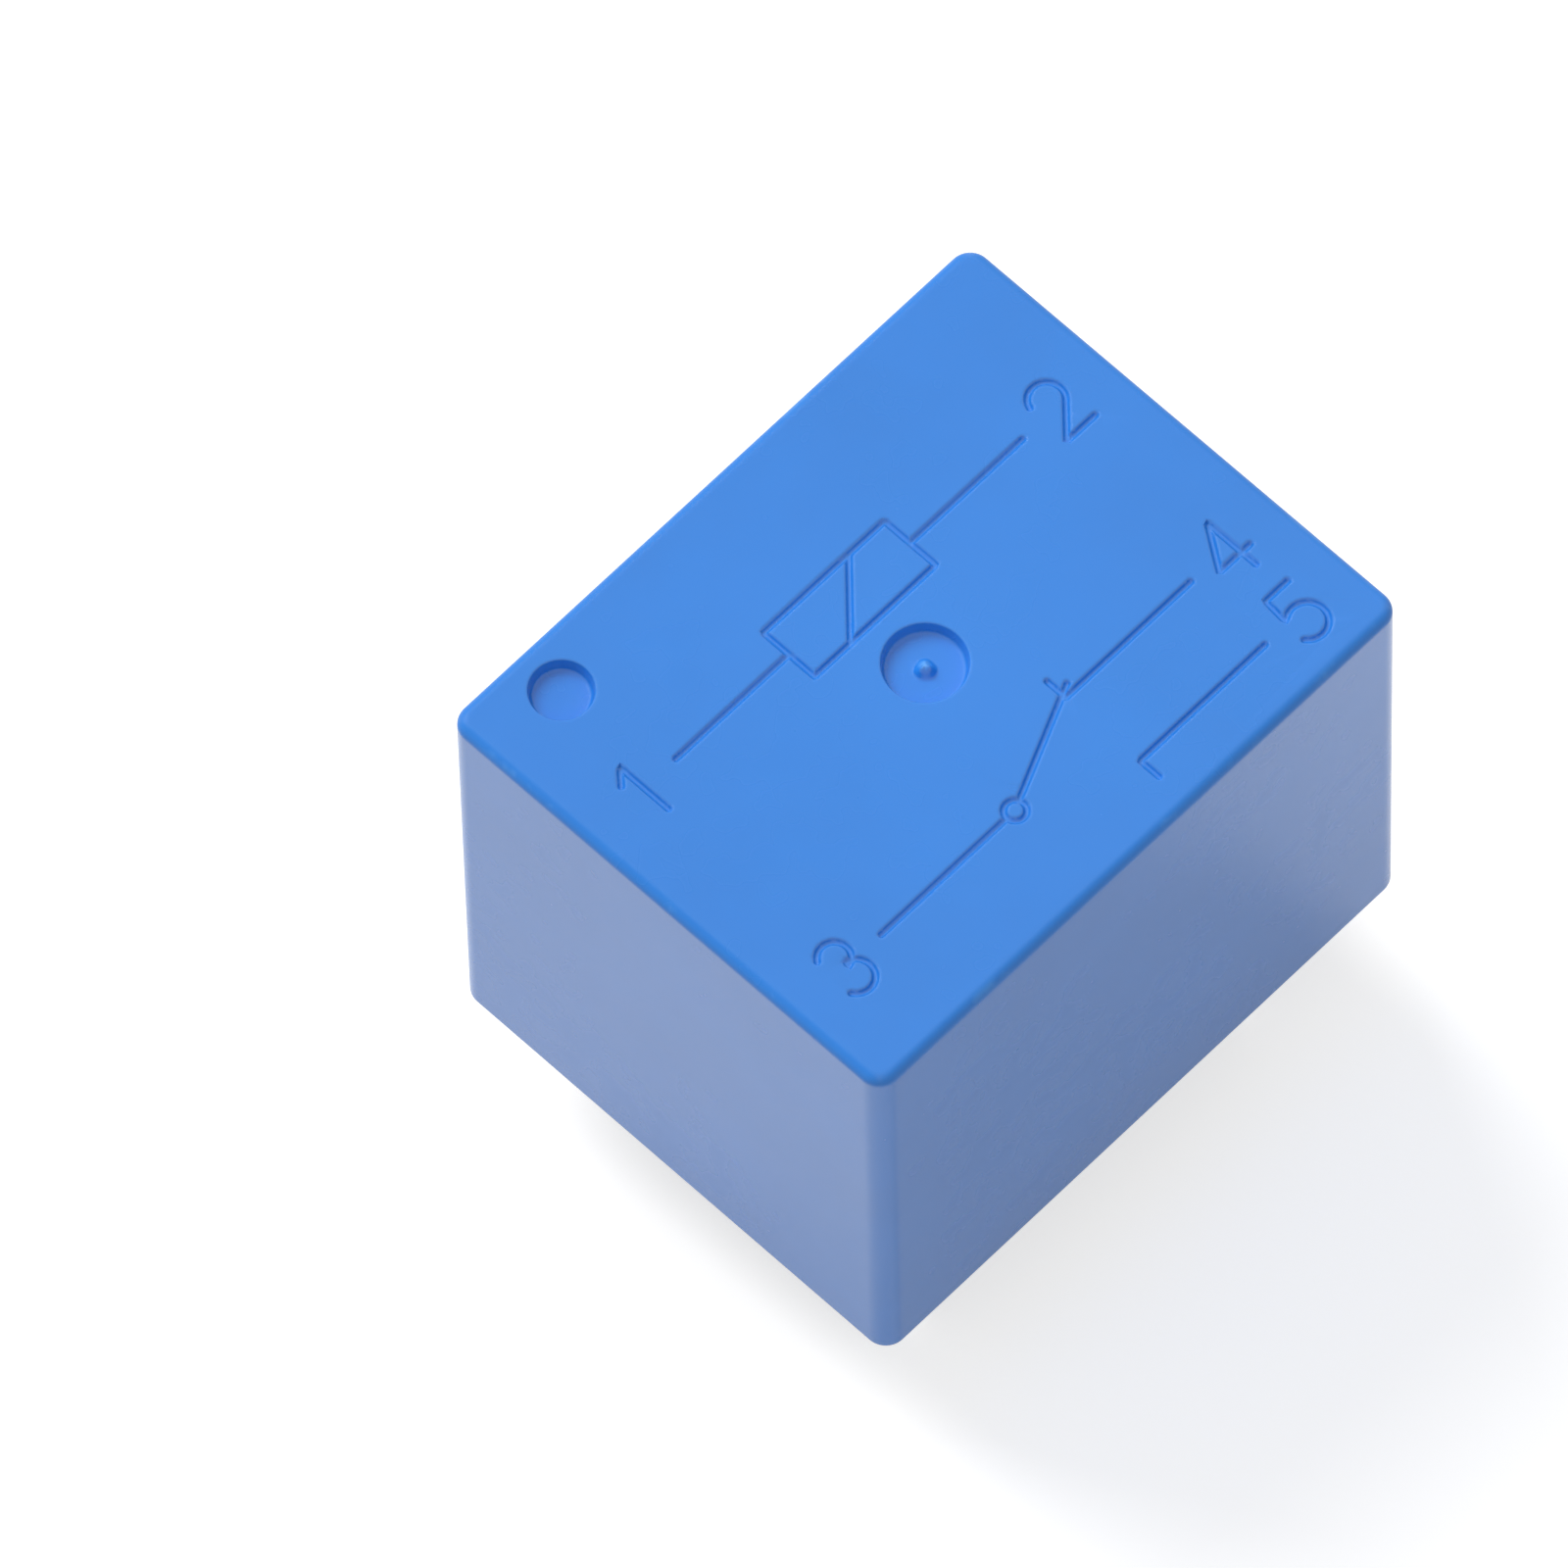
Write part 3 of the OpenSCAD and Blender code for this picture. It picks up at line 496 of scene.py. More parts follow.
def cover_rings(s):
    """Rings from the edge of the roof down the outside, round the rim and up the inside to the ceiling.
    Each is a rounded rectangle at some inset and height. The inner ones step in at the ribs."""
    half_x, half_y, top = COVER_HIGH
    corner, fillet, rim = mm(s.corner_radius), mm(s.roof_radius), mm(s.rim_radius)
    wall, cavity, chamfer = mm(s.wall), mm(s.cavity_radius), 0.05
    start, step, ceiling = mm(s.rib_start), mm(s.rib_depth), top - mm(s.roof)
    ribs = [middle + mm(s.rib_width) / 2 * np.array([-1, -1, 1, 1]) for middle in (COIL_X, 0.0)]

    def one(inset, z, radius, stand=0.0):
        ends = [half - inset - radius - SUPPORT for half in (half_x, half_y)]
        marks = [np.concatenate([[-end], rib, [end]]) for end, rib in zip(ends, ribs)]
        loop = lifted(round_loop(half_x - inset, half_y - inset, radius, *marks), z)
        on_rib = np.array([0, 0, 1, 1, 0, 0]) * stand
        side, count = len(loop) // 4, len(on_rib)
        loop[:count, 0] -= on_rib
        loop[side:side + count, 1] -= on_rib
        loop[3 * side:3 * side + count, 1] += on_rib
        return loop

    roof_turn, rim_turn = np.linspace(0, QUARTER, 9), np.linspace(0, QUARTER, 5)
    bend, drop = fillet * (1 - np.sin(roof_turn)), fillet * (1 - np.cos(roof_turn))
    curl, lift = rim * (1 - np.cos(rim_turn)), rim * (1 - np.sin(rim_turn))
    rings = [one(inset, top - down, corner - inset) for inset, down in zip(bend, drop)]
    rings += [one(0, z, corner) for z in (top - fillet - SUPPORT, rim + SUPPORT)]
    rings += [one(inset, z, corner - inset) for inset, z in zip(curl, lift)]
    rings += [one(wall - chamfer, 0.0, cavity), one(wall, chamfer, cavity), one(wall, start, cavity)]
    rings += [one(wall, z, cavity, step) for z in (start, ceiling)]
    return np.array(rings)


def cover_surface(s):
    """The whole cover as one closed skin: roof, rings and ceiling."""
    rings = cover_rings(s)
    rows, count = rings.shape[:2]
    apart = np.abs(np.diff(rings[0], axis=0, append=rings[0][:1])).sum(1) > 1e-9
    roof, roof_faces = roof_surface(s, rings[0][apart][:, :2], COVER_HIGH[2])
    ceiling = np.arange(rows * count - 1, (rows - 1) * count - 1, -1)[None]
    points = np.concatenate([rings.reshape(-1, 3), roof])
    return points, [grid_faces(rows, count, wrap=True), roof_faces + rows * count, ceiling]


# Broken bubbles in the seal: place in the plan, radius and depth
BUBBLES = np.array([
    (-2.6, 3.9, 0.24, 0.1), (1.8, -4.6, 0.18, 0.08), (4.4, 2.2, 0.13, 0.06), (-6.3, -2.7, 0.15, 0.07),
    (0.7, 5.5, 0.11, 0.06), (6.2, -1.4, 0.2, 0.09), (-3.3, -5.2, 0.12, 0.06), (-0.9, 0.6, 0.1, 0.05),
])
# Where the seal's points lie: in bubbles, beside walls and pins, on the outline and between
BUBBLE_ROWS, BUBBLE_SIDES = (0.0, 0.3, 0.6, 0.85, 1.0, 1.2), 20
CLIMB_ROWS, COLLAR_SIDES = (0.03, 0.07, 0.12, 0.19, 0.29), 40
SEAL_BITE, SEAL_CORNER, LEAST_RADIUS, SEAL_MARKS, SEAL_END = 0.015, 0.3, 0.02, 24, 0.6
SEAL_STEP, SEAL_INSET, SEAL_CELL, SEAL_CLEAR = 0.5, 0.8, 0.02, 0.015


def seal_surface(s):
    """Cast seal: its lower face hangs level and climbs by a falling power of e near the walls and round
    collars and tails, with slow waves and broken bubbles, each a bowl that falls with the square of its
    radius. Its upper face is flat, and upright walls join the two along the outline and the pin holes."""
    half_x, half_y = SEAL_HIGH[:2] + SEAL_BITE
    low, high, foot = SEAL_LOW[2], SEAL_HIGH[2], SEAL_LOW[2] - mm(s.climb)
    wide, thick, bare = mm(s.tail_width) / 2, mm(s.tail_thickness) / 2, np.zeros(0)
    tails = {"common_tail": (thick, wide), "nc_tail": (wide, thick), "no_tail": (wide, thick)}

    def outline(inset):
        marks = [np.linspace(SEAL_END - half, half - SEAL_END, SEAL_MARKS) for half in (half_x, half_y)]
        radius = max(SEAL_CORNER - inset, LEAST_RADIUS)
        return round_loop(half_x - inset, half_y - inset, radius, *marks, steps=4)

    def holes(grow):
        gap = mm(s.pin_gap) + grow
        collar = mm(s.collar_diameter) / 2 + gap
        made = [ring(mount_mm(name), collar, COLLAR_SIDES) for name in ("coil_pin_1_end", "coil_pin_2_end")]
        for name, (half_a, half_b) in tails.items():
            slot = round_loop(half_a + gap, half_b + gap, gap + LEAST_RADIUS, bare, bare, steps=6)
            made.append(mount_mm(name) + slot)
        return made

    rims = [outline(0.0)] + holes(0.0)

    def to_rims(points):
        return np.min([distance_to_lines(points, rim, np.roll(rim, -1, axis=0)) for rim in rims], 0)

    def plate(loose):
        plan, faces = triangulate(rims, loose)
        return plan, faces[~np.any([inside(plan[faces].mean(1), rim) for rim in rims[1:]], axis=0)]

    loose = [outline(inset) for inset in CLIMB_ROWS] + [hole for grow in CLIMB_ROWS for hole in holes(grow)]
    loose += [ring(b[:2], b[2] * part, BUBBLE_SIDES) for b in BUBBLES for part in BUBBLE_ROWS]
    loose = np.concatenate(loose + [plan_grid(half_x - SEAL_INSET, half_y - SEAL_INSET, SEAL_STEP)])
    free = (to_rims(loose) > SEAL_CLEAR) & (np.abs(loose) < [half_x, half_y]).all(1)
    plan, faces = plate(thin_out(loose[free], SEAL_CELL))
    lid, lid_faces = plate(np.zeros((0, 2)))

    near = to_rims(plan)
    rate, shift = [0.71, 0.93], [0.4, -0.2]
    x, y = (plan * rate + shift).T
    waves = np.sin(x) * np.cos(y)
    under = low - mm(s.climb) * np.exp(-near / mm(s.reach)) + mm(s.sag) * waves * (1 - np.exp(-near))
    away = np.linalg.norm(plan[:, None] - BUBBLES[:, :2], axis=2) / BUBBLES[:, 2]
    under += (BUBBLES[:, 3] * np.clip(1 - away**2, 0, None)).sum(1)
    points = [np.column_stack([plan, under]), lifted(lid, high)]
    blocks = [faces[:, ::-1], lid_faces + len(plan)]
    for k, rim in enumerate(rims):
        quads = grid_faces(2, len(rim), wrap=True) + sum(map(len, points))
        blocks.append(quads if k == 0 else quads[:, ::-1])
        points += [lifted(rim, high), lifted(rim, foot)]
    return np.concatenate(points), blocks


def winding_surface(s, sides=96, rows=8):
    """Coil of many turns: a tube whose outside is a row of half-round ridges, one for each turn, that climb
    one turn per revolution."""
    pitch, low, high = mm(s.wire), COIL_LOW[2], COIL_HIGH[2]
    angle = np.arange(sides) * (TURN / sides)
    level = np.linspace(high, low, int((high - low) / pitch * rows) + 1)
    phase = np.mod((level[:, None] - low) / pitch - angle[None] / TURN, 1.0)
    outside = COIL_R + pitch / 2 * (np.sqrt(np.clip(1 - (2 * phase - 1) ** 2, 0, 1)) - 1)
    r = np.concatenate([outside, np.full((2, sides), mm(s.bore)), outside[:1]])
    z = np.concatenate([level, [low, high, high]])[:, None] * np.ones(sides)
    points = np.stack([COIL_X + r * np.cos(angle), r * np.sin(angle), z], -1)
    return points.reshape(-1, 3), [grid_faces(len(r), sides, wrap=True)]


def tube(path, radius, sides=10):
    """Round wire: a circle square to the path, carried along it, with both ends closed."""
    run = unit(np.gradient(path, axis=0))
    side = unit(np.cross(run, [0.0, 0.0, 1.0]))[:, None]
    up = np.cross(side, run[:, None])
    angle = (np.arange(sides) * (TURN / sides))[:, None]
    rings = path[:, None] + radius * (np.cos(angle) * side + np.sin(angle) * up)
    last = len(path) * sides - 1
    ends = np.array([range(sides), range(last, last - sides, -1)])
    return rings.reshape(-1, 3), [grid_faces(len(path), sides, wrap=True), ends]


def lead_path(s, side):
    """Winding end: a helix down the coil pin, a straight run that touches both pin wrap and winding, and a
    short arc on the winding. The helix leaves its circle where its own direction points along the run."""
    # Gap at the pin, overlap with the winding, rise of a turn in wires, angle of the last arc, point counts
    slack, sink, lay, hold, turn_steps, run_steps = 0.02, 0.03, 1.03, 0.5, 28, 12
    wire, turns = mm(s.wire) / 2, s.lead_turns
    pin, middle, low = mount_mm("coil_pin_1_end"), np.array([COIL_X, 0.0]), LEAD_LOW[2] + wire
    wrap, winding = mm(s.pin_diameter) / 2 + slack + wire, COIL_R + wire - sink
    x, y = pin - middle
    touch = math.atan2(y, x) - math.acos((winding - wrap) / math.hypot(x, y))
    leave, end = on_circle(pin, wrap, touch), on_circle(middle, winding, touch)
    angle = np.linspace(touch + TURN * turns, touch, turn_steps * turns + 1)
    helix = np.column_stack([on_circle(pin, wrap, angle), low + mm(s.wire) * lay * (angle - touch) / TURN])
    run = lifted(leave + np.linspace(0, 1, run_steps)[1:-1, None] * (end - leave), low)
    hug = lifted(on_circle(middle, winding, np.linspace(touch, touch - hold, run_steps)), low)
    return np.concatenate([helix, run, hug]) * [1, side, 1], wire


def blade_surface(s):
    """Middle sheet of the contact blade: a straight leg up the yoke's back, an arc over the hinge and a
    straight blade along the open armature, carried across by a half width that tapers to the neck and ends
    in a circle. The window over the hinge stays open."""
    half_t, bend, end_r, rise = mm(s.thickness) / 2, mm(s.bend_radius), mm(s.end_radius), mm(s.rise)
    taper_start, taper_end, half_neck = mm(s.taper_start), mm(s.taper_end), mm(s.half_neck)
    cos, sin = math.cos(OPEN_ANGLE), math.sin(OPEN_ANGLE)
    arc_r, across = bend + half_t, bend - (HINGE[0] - YOKE_LOW[0])
    centre = np.array([YOKE_LOW[0] + bend, HINGE[2] + (rise - bend + across * sin) / cos])
    blade_start = across * cos + (centre[1] - HINGE[2]) * sin
    reach = (np.mean(box_mm("moving_contact"), 0)[0] - HINGE[0] + (rise + half_t) * sin) / cos
    window_low = HINGE[2] - mm(s.window_start)
    window_high = blade_start + (HINGE[0] + mm(s.window_reach) - centre[0] + arc_r * sin) / cos

    # Points along the sheet below and past the window, across a rail and the window, the window's share of
    # the width, and the angle at which the neck meets the round end
    below, past, rail, span, window, neck_at = 9, 6, 4, 5, 0.4, -0.84
    leg_z = np.concatenate([np.linspace(SPRING_LOW[2], window_low, below),
                            np.linspace(window_low, centre[1], 10)[1:-1]])
    leg = np.column_stack([np.full(len(leg_z), YOKE_LOW[0] - half_t), leg_z])
    over = on_circle(centre, arc_r, np.linspace(math.pi, QUARTER + OPEN_ANGLE, 17))
    round_end = reach + end_r * np.sin(np.linspace(neck_at, QUARTER, 26))
    local = np.concatenate([
        np.linspace(blade_start, window_high, past)[1:], np.linspace(window_high, taper_start, 10)[1:],
        np.linspace(taper_start, taper_end, 6)[1:], np.linspace(taper_end, round_end[0], 6)[1:-1],
        round_end])
    blade = over[-1] + (local - blade_start)[:, None] * [cos, sin]
    tapered = np.interp(local, [taper_start, taper_end], [mm(s.half_width), half_neck])
    circle = np.sqrt(np.clip(end_r**2 - (local - reach) ** 2, 0, None))
    half = np.where(local < reach, np.maximum(tapered, circle), circle)
    half = np.concatenate([np.full(len(leg) + len(over), mm(s.half_width)), half])
    line = np.concatenate([leg, over, blade])
    column = np.concatenate([np.linspace(-1, -window, rail), np.linspace(-window, window, span)[1:-1],
                             np.linspace(window, 1, rail)])
    points = np.stack(np.broadcast_arrays(line[:, :1], half[:, None] * column, line[:, 1:]), -1)
    quads = grid_faces(len(line), len(column))
    row, place = np.divmod(np.arange(len(quads)), len(column) - 1)
    opened = (row >= below - 1) & (row < len(leg) + len(over) + past - 2)
    opened &= (place >= rail - 1) & (place < rail + span - 2)
    return points.reshape(-1, 3), [quads[~opened]]


NODE_ROWS, NODE_GAP = 5, 260.0
DRAWN, FINE = 350.0, 9000.0
ALONG_X, ALONG_Y, ALONG_Z = (DRAWN, FINE, FINE), (FINE, DRAWN, FINE), (FINE, FINE, DRAWN)
# Noises of each node group: scale, detail, roughness, and the part of the range that is spread over 0 to 1
GROUPS = {
    "Moulded skin": {"Grain": (FINE, 3.0, 0.55, 0.3, 0.7), "Cloud": (220.0, 4.0, 0.55, 0.3, 0.7)},
    "Drawn lines": {"Line": (1.0, 3.0, 0.55, 0.3, 0.7), "Pit": (5200.0, 2.0, 0.55, 0.55, 0.75)},
    "Handling marks": {"Smudge": (160.0, 3.0, 0.6, 0.35, 0.7)},
}


def fill(tree, sockets, values):
    """Gives sockets their values: another node's output is linked, anything else is set. An underscore in a
    socket's name stands for a blank."""
    for name, value in dict(values).items():
        target = sockets[name.replace("_", " ") if isinstance(name, str) else name]
        if isinstance(value, bpy.types.NodeSocket):
            tree.links.new(value, target)
        else:
            target.default_value = value


def node(tree, kind, inputs=(), **settings):
    """A shader node with its settings and inputs, in the next place of a plain layout."""
    made = tree.nodes.new(kind)
    column, row = divmod(len(tree.nodes), NODE_ROWS)
    made.location = (NODE_GAP * column, -NODE_GAP * row)
    for name, value in settings.items():
        setattr(made, name, value)
    fill(tree, made.inputs, inputs)
    return made


def worked_out(tree, operation, *values):
    """A number worked out from others by one operation."""
    return node(tree, "ShaderNodeMath", enumerate(values), operation=operation).outputs["Value"]


def vector_math(tree, operation, *values):
    """Outputs of one operation on vectors: a vector and a number."""
    return node(tree, "ShaderNodeVectorMath", enumerate(values), operation=operation).outputs


def spread(tree, source, low, high, from_low=0.0, from_high=1.0):
    """Maps a value between two limits to another two."""
    limits = {"From Min": from_low, "From Max": from_high, "To Min": low, "To Max": high}
    return node(tree, "ShaderNodeMapRange", {"Value": source, **limits}).outputs["Result"]


def mixed(tree, factor, first, second):
    """A colour between two others."""
    return node(tree, "ShaderNodeMix", {0: factor, 6: first, 7: second}, data_type="RGBA").outputs[2]


def shader_group(name):
    """A new shader node group from the table: for each of its outputs a noise over the piece, with scale,
    detail and stretch as inputs, spread over 0 to 1."""
    group = bpy.data.node_groups.new(name, "ShaderNodeTree")
    number, vector = "NodeSocketFloat", "NodeSocketVector"
    for label, (scale, detail, *_) in GROUPS[name].items():
        rows = (("scale", number, scale), ("detail", number, detail), ("stretch", vector, (1.0, 1.0, 1.0)))
        for what, kind, value in rows:
            made = group.interface.new_socket(f"{label} {what}", in_out="INPUT", socket_type=kind)
            made.default_value = value
        group.interface.new_socket(label, in_out="OUTPUT", socket_type=number)
    given, out = node(group, "NodeGroupInput").outputs, node(group, "NodeGroupOutput").inputs
    place = node(group, "ShaderNodeTexCoord").outputs["Object"]
    for label, (_, _, roughness, start, end) in GROUPS[name].items():
        at = vector_math(group, "MULTIPLY", place, given[f"{label} stretch"])["Vector"]
        inputs = {"Vector": at, "Scale": given[f"{label} scale"], "Detail": given[f"{label} detail"]}
        noise = node(group, "ShaderNodeTexNoise", {**inputs, "Roughness": roughness}).outputs["Fac"]
        fill(group, out, {label: spread(group, noise, 0.0, 1.0, start, end)})
    return group


def placed(tree, name, **values):
    """Outputs of a node group in a material. The group is built at its first use."""
    group = bpy.data.node_groups.get(name) or shader_group(name)
    return node(tree, "ShaderNodeGroup", values, node_tree=group).outputs


def new_material(name, **constants):
    """A node material with constants on its shader's sockets. Gives the material, its tree and the
    sockets."""
    material = bpy.data.materials.new(name)
    material.use_nodes = True
    shader = material.node_tree.nodes["Principled BSDF"].inputs
    fill(material.node_tree, shader, constants)
    return material, material.node_tree, shader


def dulled(tree, shader, base, smudge, amount):
    """Feeds the shader's roughness: a base that changes over the surface, plus an amount of the smudges."""
    fill(tree, shader, {"Roughness": worked_out(tree, "MULTIPLY_ADD", smudge, amount, base)})


def bumped(tree, shader, height, strength, distance=0.00001):
    """Feeds a height to the shader's normal."""
    bump = node(tree, "ShaderNodeBump", {"Strength": strength, "Distance": distance, "Height": height})
    fill(tree, shader, {"Normal": bump.outputs["Normal"]})


def tone(colour, factor=1.0):
    """A colour made lighter or darker, held at white, with a full alpha."""
    return (*(min(1.0, part * factor) for part in colour), 1.0)


def moulded_plastic(name, colour, roughness, grain, scale=FINE, detail=3.0, **constants):
    """Moulded plastic: a colour that drifts a little with the clouds, gloss broken by grain and smudges,
    and a fine grain. Gives the material, its tree, the shader's sockets and the colour."""
    darker, lighter, smoother, rougher, smudged = 0.965, 1.035, 0.4, 0.2, 0.04
    material, tree, shader = new_material(name, **constants)
    skin = placed(tree, "Moulded skin", Grain_scale=scale, Grain_detail=detail)
    body = mixed(tree, skin["Cloud"], tone(colour, darker), tone(colour, lighter))
    base = spread(tree, skin["Grain"], roughness - smoother * grain, roughness + rougher * grain)
    fill(tree, shader, {"Base Color": body})
    dulled(tree, shader, base, placed(tree, "Handling marks")["Smudge"], smudged)
    bumped(tree, shader, skin["Grain"], grain)
    return material, tree, shader, body


def mark_edges(mesh, radius):
    """Stores how far each point lies on a rounded edge of the roof: along each axis, the share of the edge
    radius that it has passed. The lesser of the upright one and the larger level one counts, so flats give
    0 and the crown of an edge gives most."""
    places = np.empty(len(mesh.vertices) * 3)
    mesh.vertices.foreach_get("co", places)
    places = places.reshape(-1, 3) / MM
    places[:, :2] = np.abs(places[:, :2])
    past = np.clip((places - COVER_HIGH) / radius + 1, 0, 1)
    edge = np.minimum(past[:, 2], past[:, :2].max(1))
    mesh.attributes.new("edge", "FLOAT", "POINT").data.foreach_set("value", edge)


def cover_plastic(s):
    """The cover's plastic: moulded skin with a paler blush where the melt spread from the gate, as rings
    about the gate's axis, a pale torn spot on the broken gate that is also a painted highlight, and roof
    edges that lost their gloss and are rubbed pale in places."""
    # Each fade: its values at start and end, then where it starts and ends, for the first two in metres
    blush, tear_and_highlight = (0.45, 0.0, 0.001, 0.0055), (0.8, 0.0, 0.00005, 0.0002)
    gloss, crown, touched = (s.coat, 0.0, 0.05, 0.4), (0.0, 0.2, 0.25, 0.65), (0.0, 1.0, 0.6, 0.95)
    # Centre of the pale torn spot, set a little off the gate's axis, where it also paints the gate's highlight
    tear_and_highlight_at = (-0.00004, -0.00007, 0.0)
    material, tree, shader, body = moulded_plastic(
        "Cover plastic", s.colour, s.gloss_roughness, 0.05, 1300.0, 1.0, IOR=1.48, Coat_Roughness=0.16)
    place = node(tree, "ShaderNodeTexCoord").outputs["Object"]
    flat = vector_math(tree, "MULTIPLY", place, (1.0, 1.0, 0.0))["Vector"]
    from_gate = vector_math(tree, "LENGTH", flat)["Value"]
    pale = mixed(tree, spread(tree, from_gate, *blush), body, tone(s.colour, 1.12))
    from_tear_and_highlight = vector_math(tree, "DISTANCE", flat, tear_and_highlight_at)["Value"]
    # Pale torn spot on the gate: torn plastic and a painted highlight
    gate = mixed(tree, spread(tree, from_tear_and_highlight, *tear_and_highlight), pale, tone(s.pale_and_highlight_colour))
    edge = node(tree, "ShaderNodeAttribute", attribute_name="edge").outputs["Fac"]
    smudge = placed(tree, "Handling marks", Smudge_scale=900.0)["Smudge"]
    rubbed = worked_out(tree, "MULTIPLY", spread(tree, edge, *crown), spread(tree, smudge, *touched))
    worn = mixed(tree, rubbed, gate, tone(s.pale_and_highlight_colour))
    fill(tree, shader, {"Base Color": worn, "Coat Weight": spread(tree, edge, *gloss)})
    return material


def cast_resin(s):
    """Cast resin: near black and glossy, with slow flow waves and a dusty bloom in places."""
    material, tree, shader = new_material("Cast resin", IOR=1.55)
    smudge = placed(tree, "Handling marks", Smudge_scale=420.0)["Smudge"]
    skin = placed(tree, "Moulded skin", Grain_scale=1500.0)
    bloom = mixed(tree, smudge, tone(s.colour), tone(s.colour, 2.1))
    fill(tree, shader, {"Base Color": bloom, "Roughness": spread(tree, smudge, 0.13, 0.3)})
    bumped(tree, shader, skin["Grain"], 0.12, 0.00003)
    return material


def metal(name, colour, roughness, stretch, wear=0.88, **constants):
    """Plain metal: drawn lines in colour, gloss and height, with darker pits and duller smudges."""
    darker, lighter, streaked, smudged = 0.9, 1.06, 0.06, 0.12
    material, tree, shader = new_material(name, Metallic=1.0, **constants)
    lines = placed(tree, "Drawn lines", Line_stretch=stretch)
    smudge = placed(tree, "Handling marks", Smudge_scale=700.0)["Smudge"]
    body = mixed(tree, lines["Line"], tone(colour, darker), tone(colour, lighter))
    base = spread(tree, lines["Line"], roughness - streaked, roughness + streaked)
    fill(tree, shader, {"Base Color": mixed(tree, lines["Pit"], body, tone(colour, wear))})
    dulled(tree, shader, base, smudge, smudged)
    bumped(tree, shader, lines["Line"], 0.08)
    return material


class RELAY_OT_cover(bpy.types.Operator):
    """Moulds the cover with its roof recesses, engraved marks and inner ribs."""

    bl_idname = "relay.cover"
    bl_label = "Cover"

    def execute(self, context):
        s = context.scene.relay_cover
        piece = new_piece("cover_shell", *cover_surface(s), cover_plastic(s), sharp=50)
        mark_edges(piece.data, mm(s.roof_radius))
        settle(piece, "cover")
        return {"FINISHED"}


class RELAY_OT_seal(bpy.types.Operator):
    """Casts the resin seal round the pins and along the walls."""

    bl_idname = "relay.seal"
    bl_label = "Seal"

    def execute(self, context):
        s = context.scene.relay_seal
        piece = new_piece("resin_seal", *seal_surface(s), cast_resin(s), sharp=60)
        settle(piece, "sealing_resin")
        return {"FINISHED"}


class RELAY_OT_coil(bpy.types.Operator):
    """Winds the coil and wraps its two ends round their pins."""

    bl_idname = "relay.coil"
    bl_label = "Coil"

    def execute(self, context):
        s = context.scene.relay_coil
        copper = metal(
            "Enamelled copper", s.colour, 0.3, ALONG_Z, 0.85, Coat_Weight=0.5, Coat_Roughness=0.12)
        coil = new_piece("coil_turns", *winding_surface(s), copper, sharp=75)
        settle(coil, "coil_winding")
        for number, side in ((1, 1), (2, -1)):
            wrap = new_piece(f"lead_wrap_{number}", *tube(*lead_path(s, side)), copper, sharp=60)
            settle(wrap, f"coil_lead_{number}")
        return {"FINISHED"}


class RELAY_OT_blade(bpy.types.Operator):
    """Bends the contact blade over the hinge: its leg lies on the yoke, its blade lies along the open armature."""

    bl_idname = "relay.blade"
    bl_label = "Contact blade"

    def execute(self, context):
        s = context.scene.relay_blade
        sharp, below, above, ahead = 40, 3.2, 1.2, 0.8
        bronze = metal("Spring bronze", s.colour, 0.3, ALONG_X)
        piece = new_piece("spring_blade", *blade_surface(s), bronze, sharp)
        thick = piece.modifiers.new("Thickness", "SOLIDIFY")
        thick.thickness, thick.offset, thick.use_even_offset = s.thickness, 0.0, True
        mesh = bpy.data.meshes.new_from_object(piece.evaluated_get(context.evaluated_depsgraph_get()))
        piece.modifiers.clear()
        piece.data = mesh
        shade(mesh, sharp)
        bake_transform(piece)
        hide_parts("contact_spring")
        return {"FINISHED"}


class RELAY_OT_finishes(bpy.types.Operator):
    """Gives the plain pieces their plastic and metal finishes."""

    bl_idname = "relay.finishes"
    bl_label = "Finishes"

    def execute(self, context):
        s = context.scene.relay_finish
        terminals = ["coil_pin_1", "coil_pin_2", "common_terminal", "nc_terminal", "no_terminal"]
        finishes = {
            moulded_plastic("Base plastic", s.base_blue, 0.48, 0.14)[0]: ["base"],
            moulded_plastic("Bobbin plastic", s.bobbin_black, 0.5, 0.16)[0]: ["bobbin"],
            metal("Drawn tin", s.tin, 0.27, ALONG_Z): terminals,
            metal("Headed tin", s.tin, 0.34, ALONG_Y): ["armature_rivets", "yoke_rivets"],
            metal("Plated iron", s.iron, 0.36, ALONG_Y): ["core", "yoke", "armature"],
            metal("Contact silver", s.silver, 0.3, ALONG_X): ["moving_contact", "nc_contact", "no_contact"],
        }
        for material, names in finishes.items():
            for name in names:
                mesh = frame["nodes"][name].data
                mesh.materials.clear()
                mesh.materials.append(material)
        return {"FINISHED"}


def seen_directly(tree):
    """1 for rays from the camera, mirrored rays and rays through glass, 0 for light that falls on
    things."""
    path = node(tree, "ShaderNodeLightPath").outputs
    seen = worked_out(tree, "MAXIMUM", path["Is Camera Ray"], path["Is Glossy Ray"])
    return worked_out(tree, "MAXIMUM", seen, path["Is Transmission Ray"])


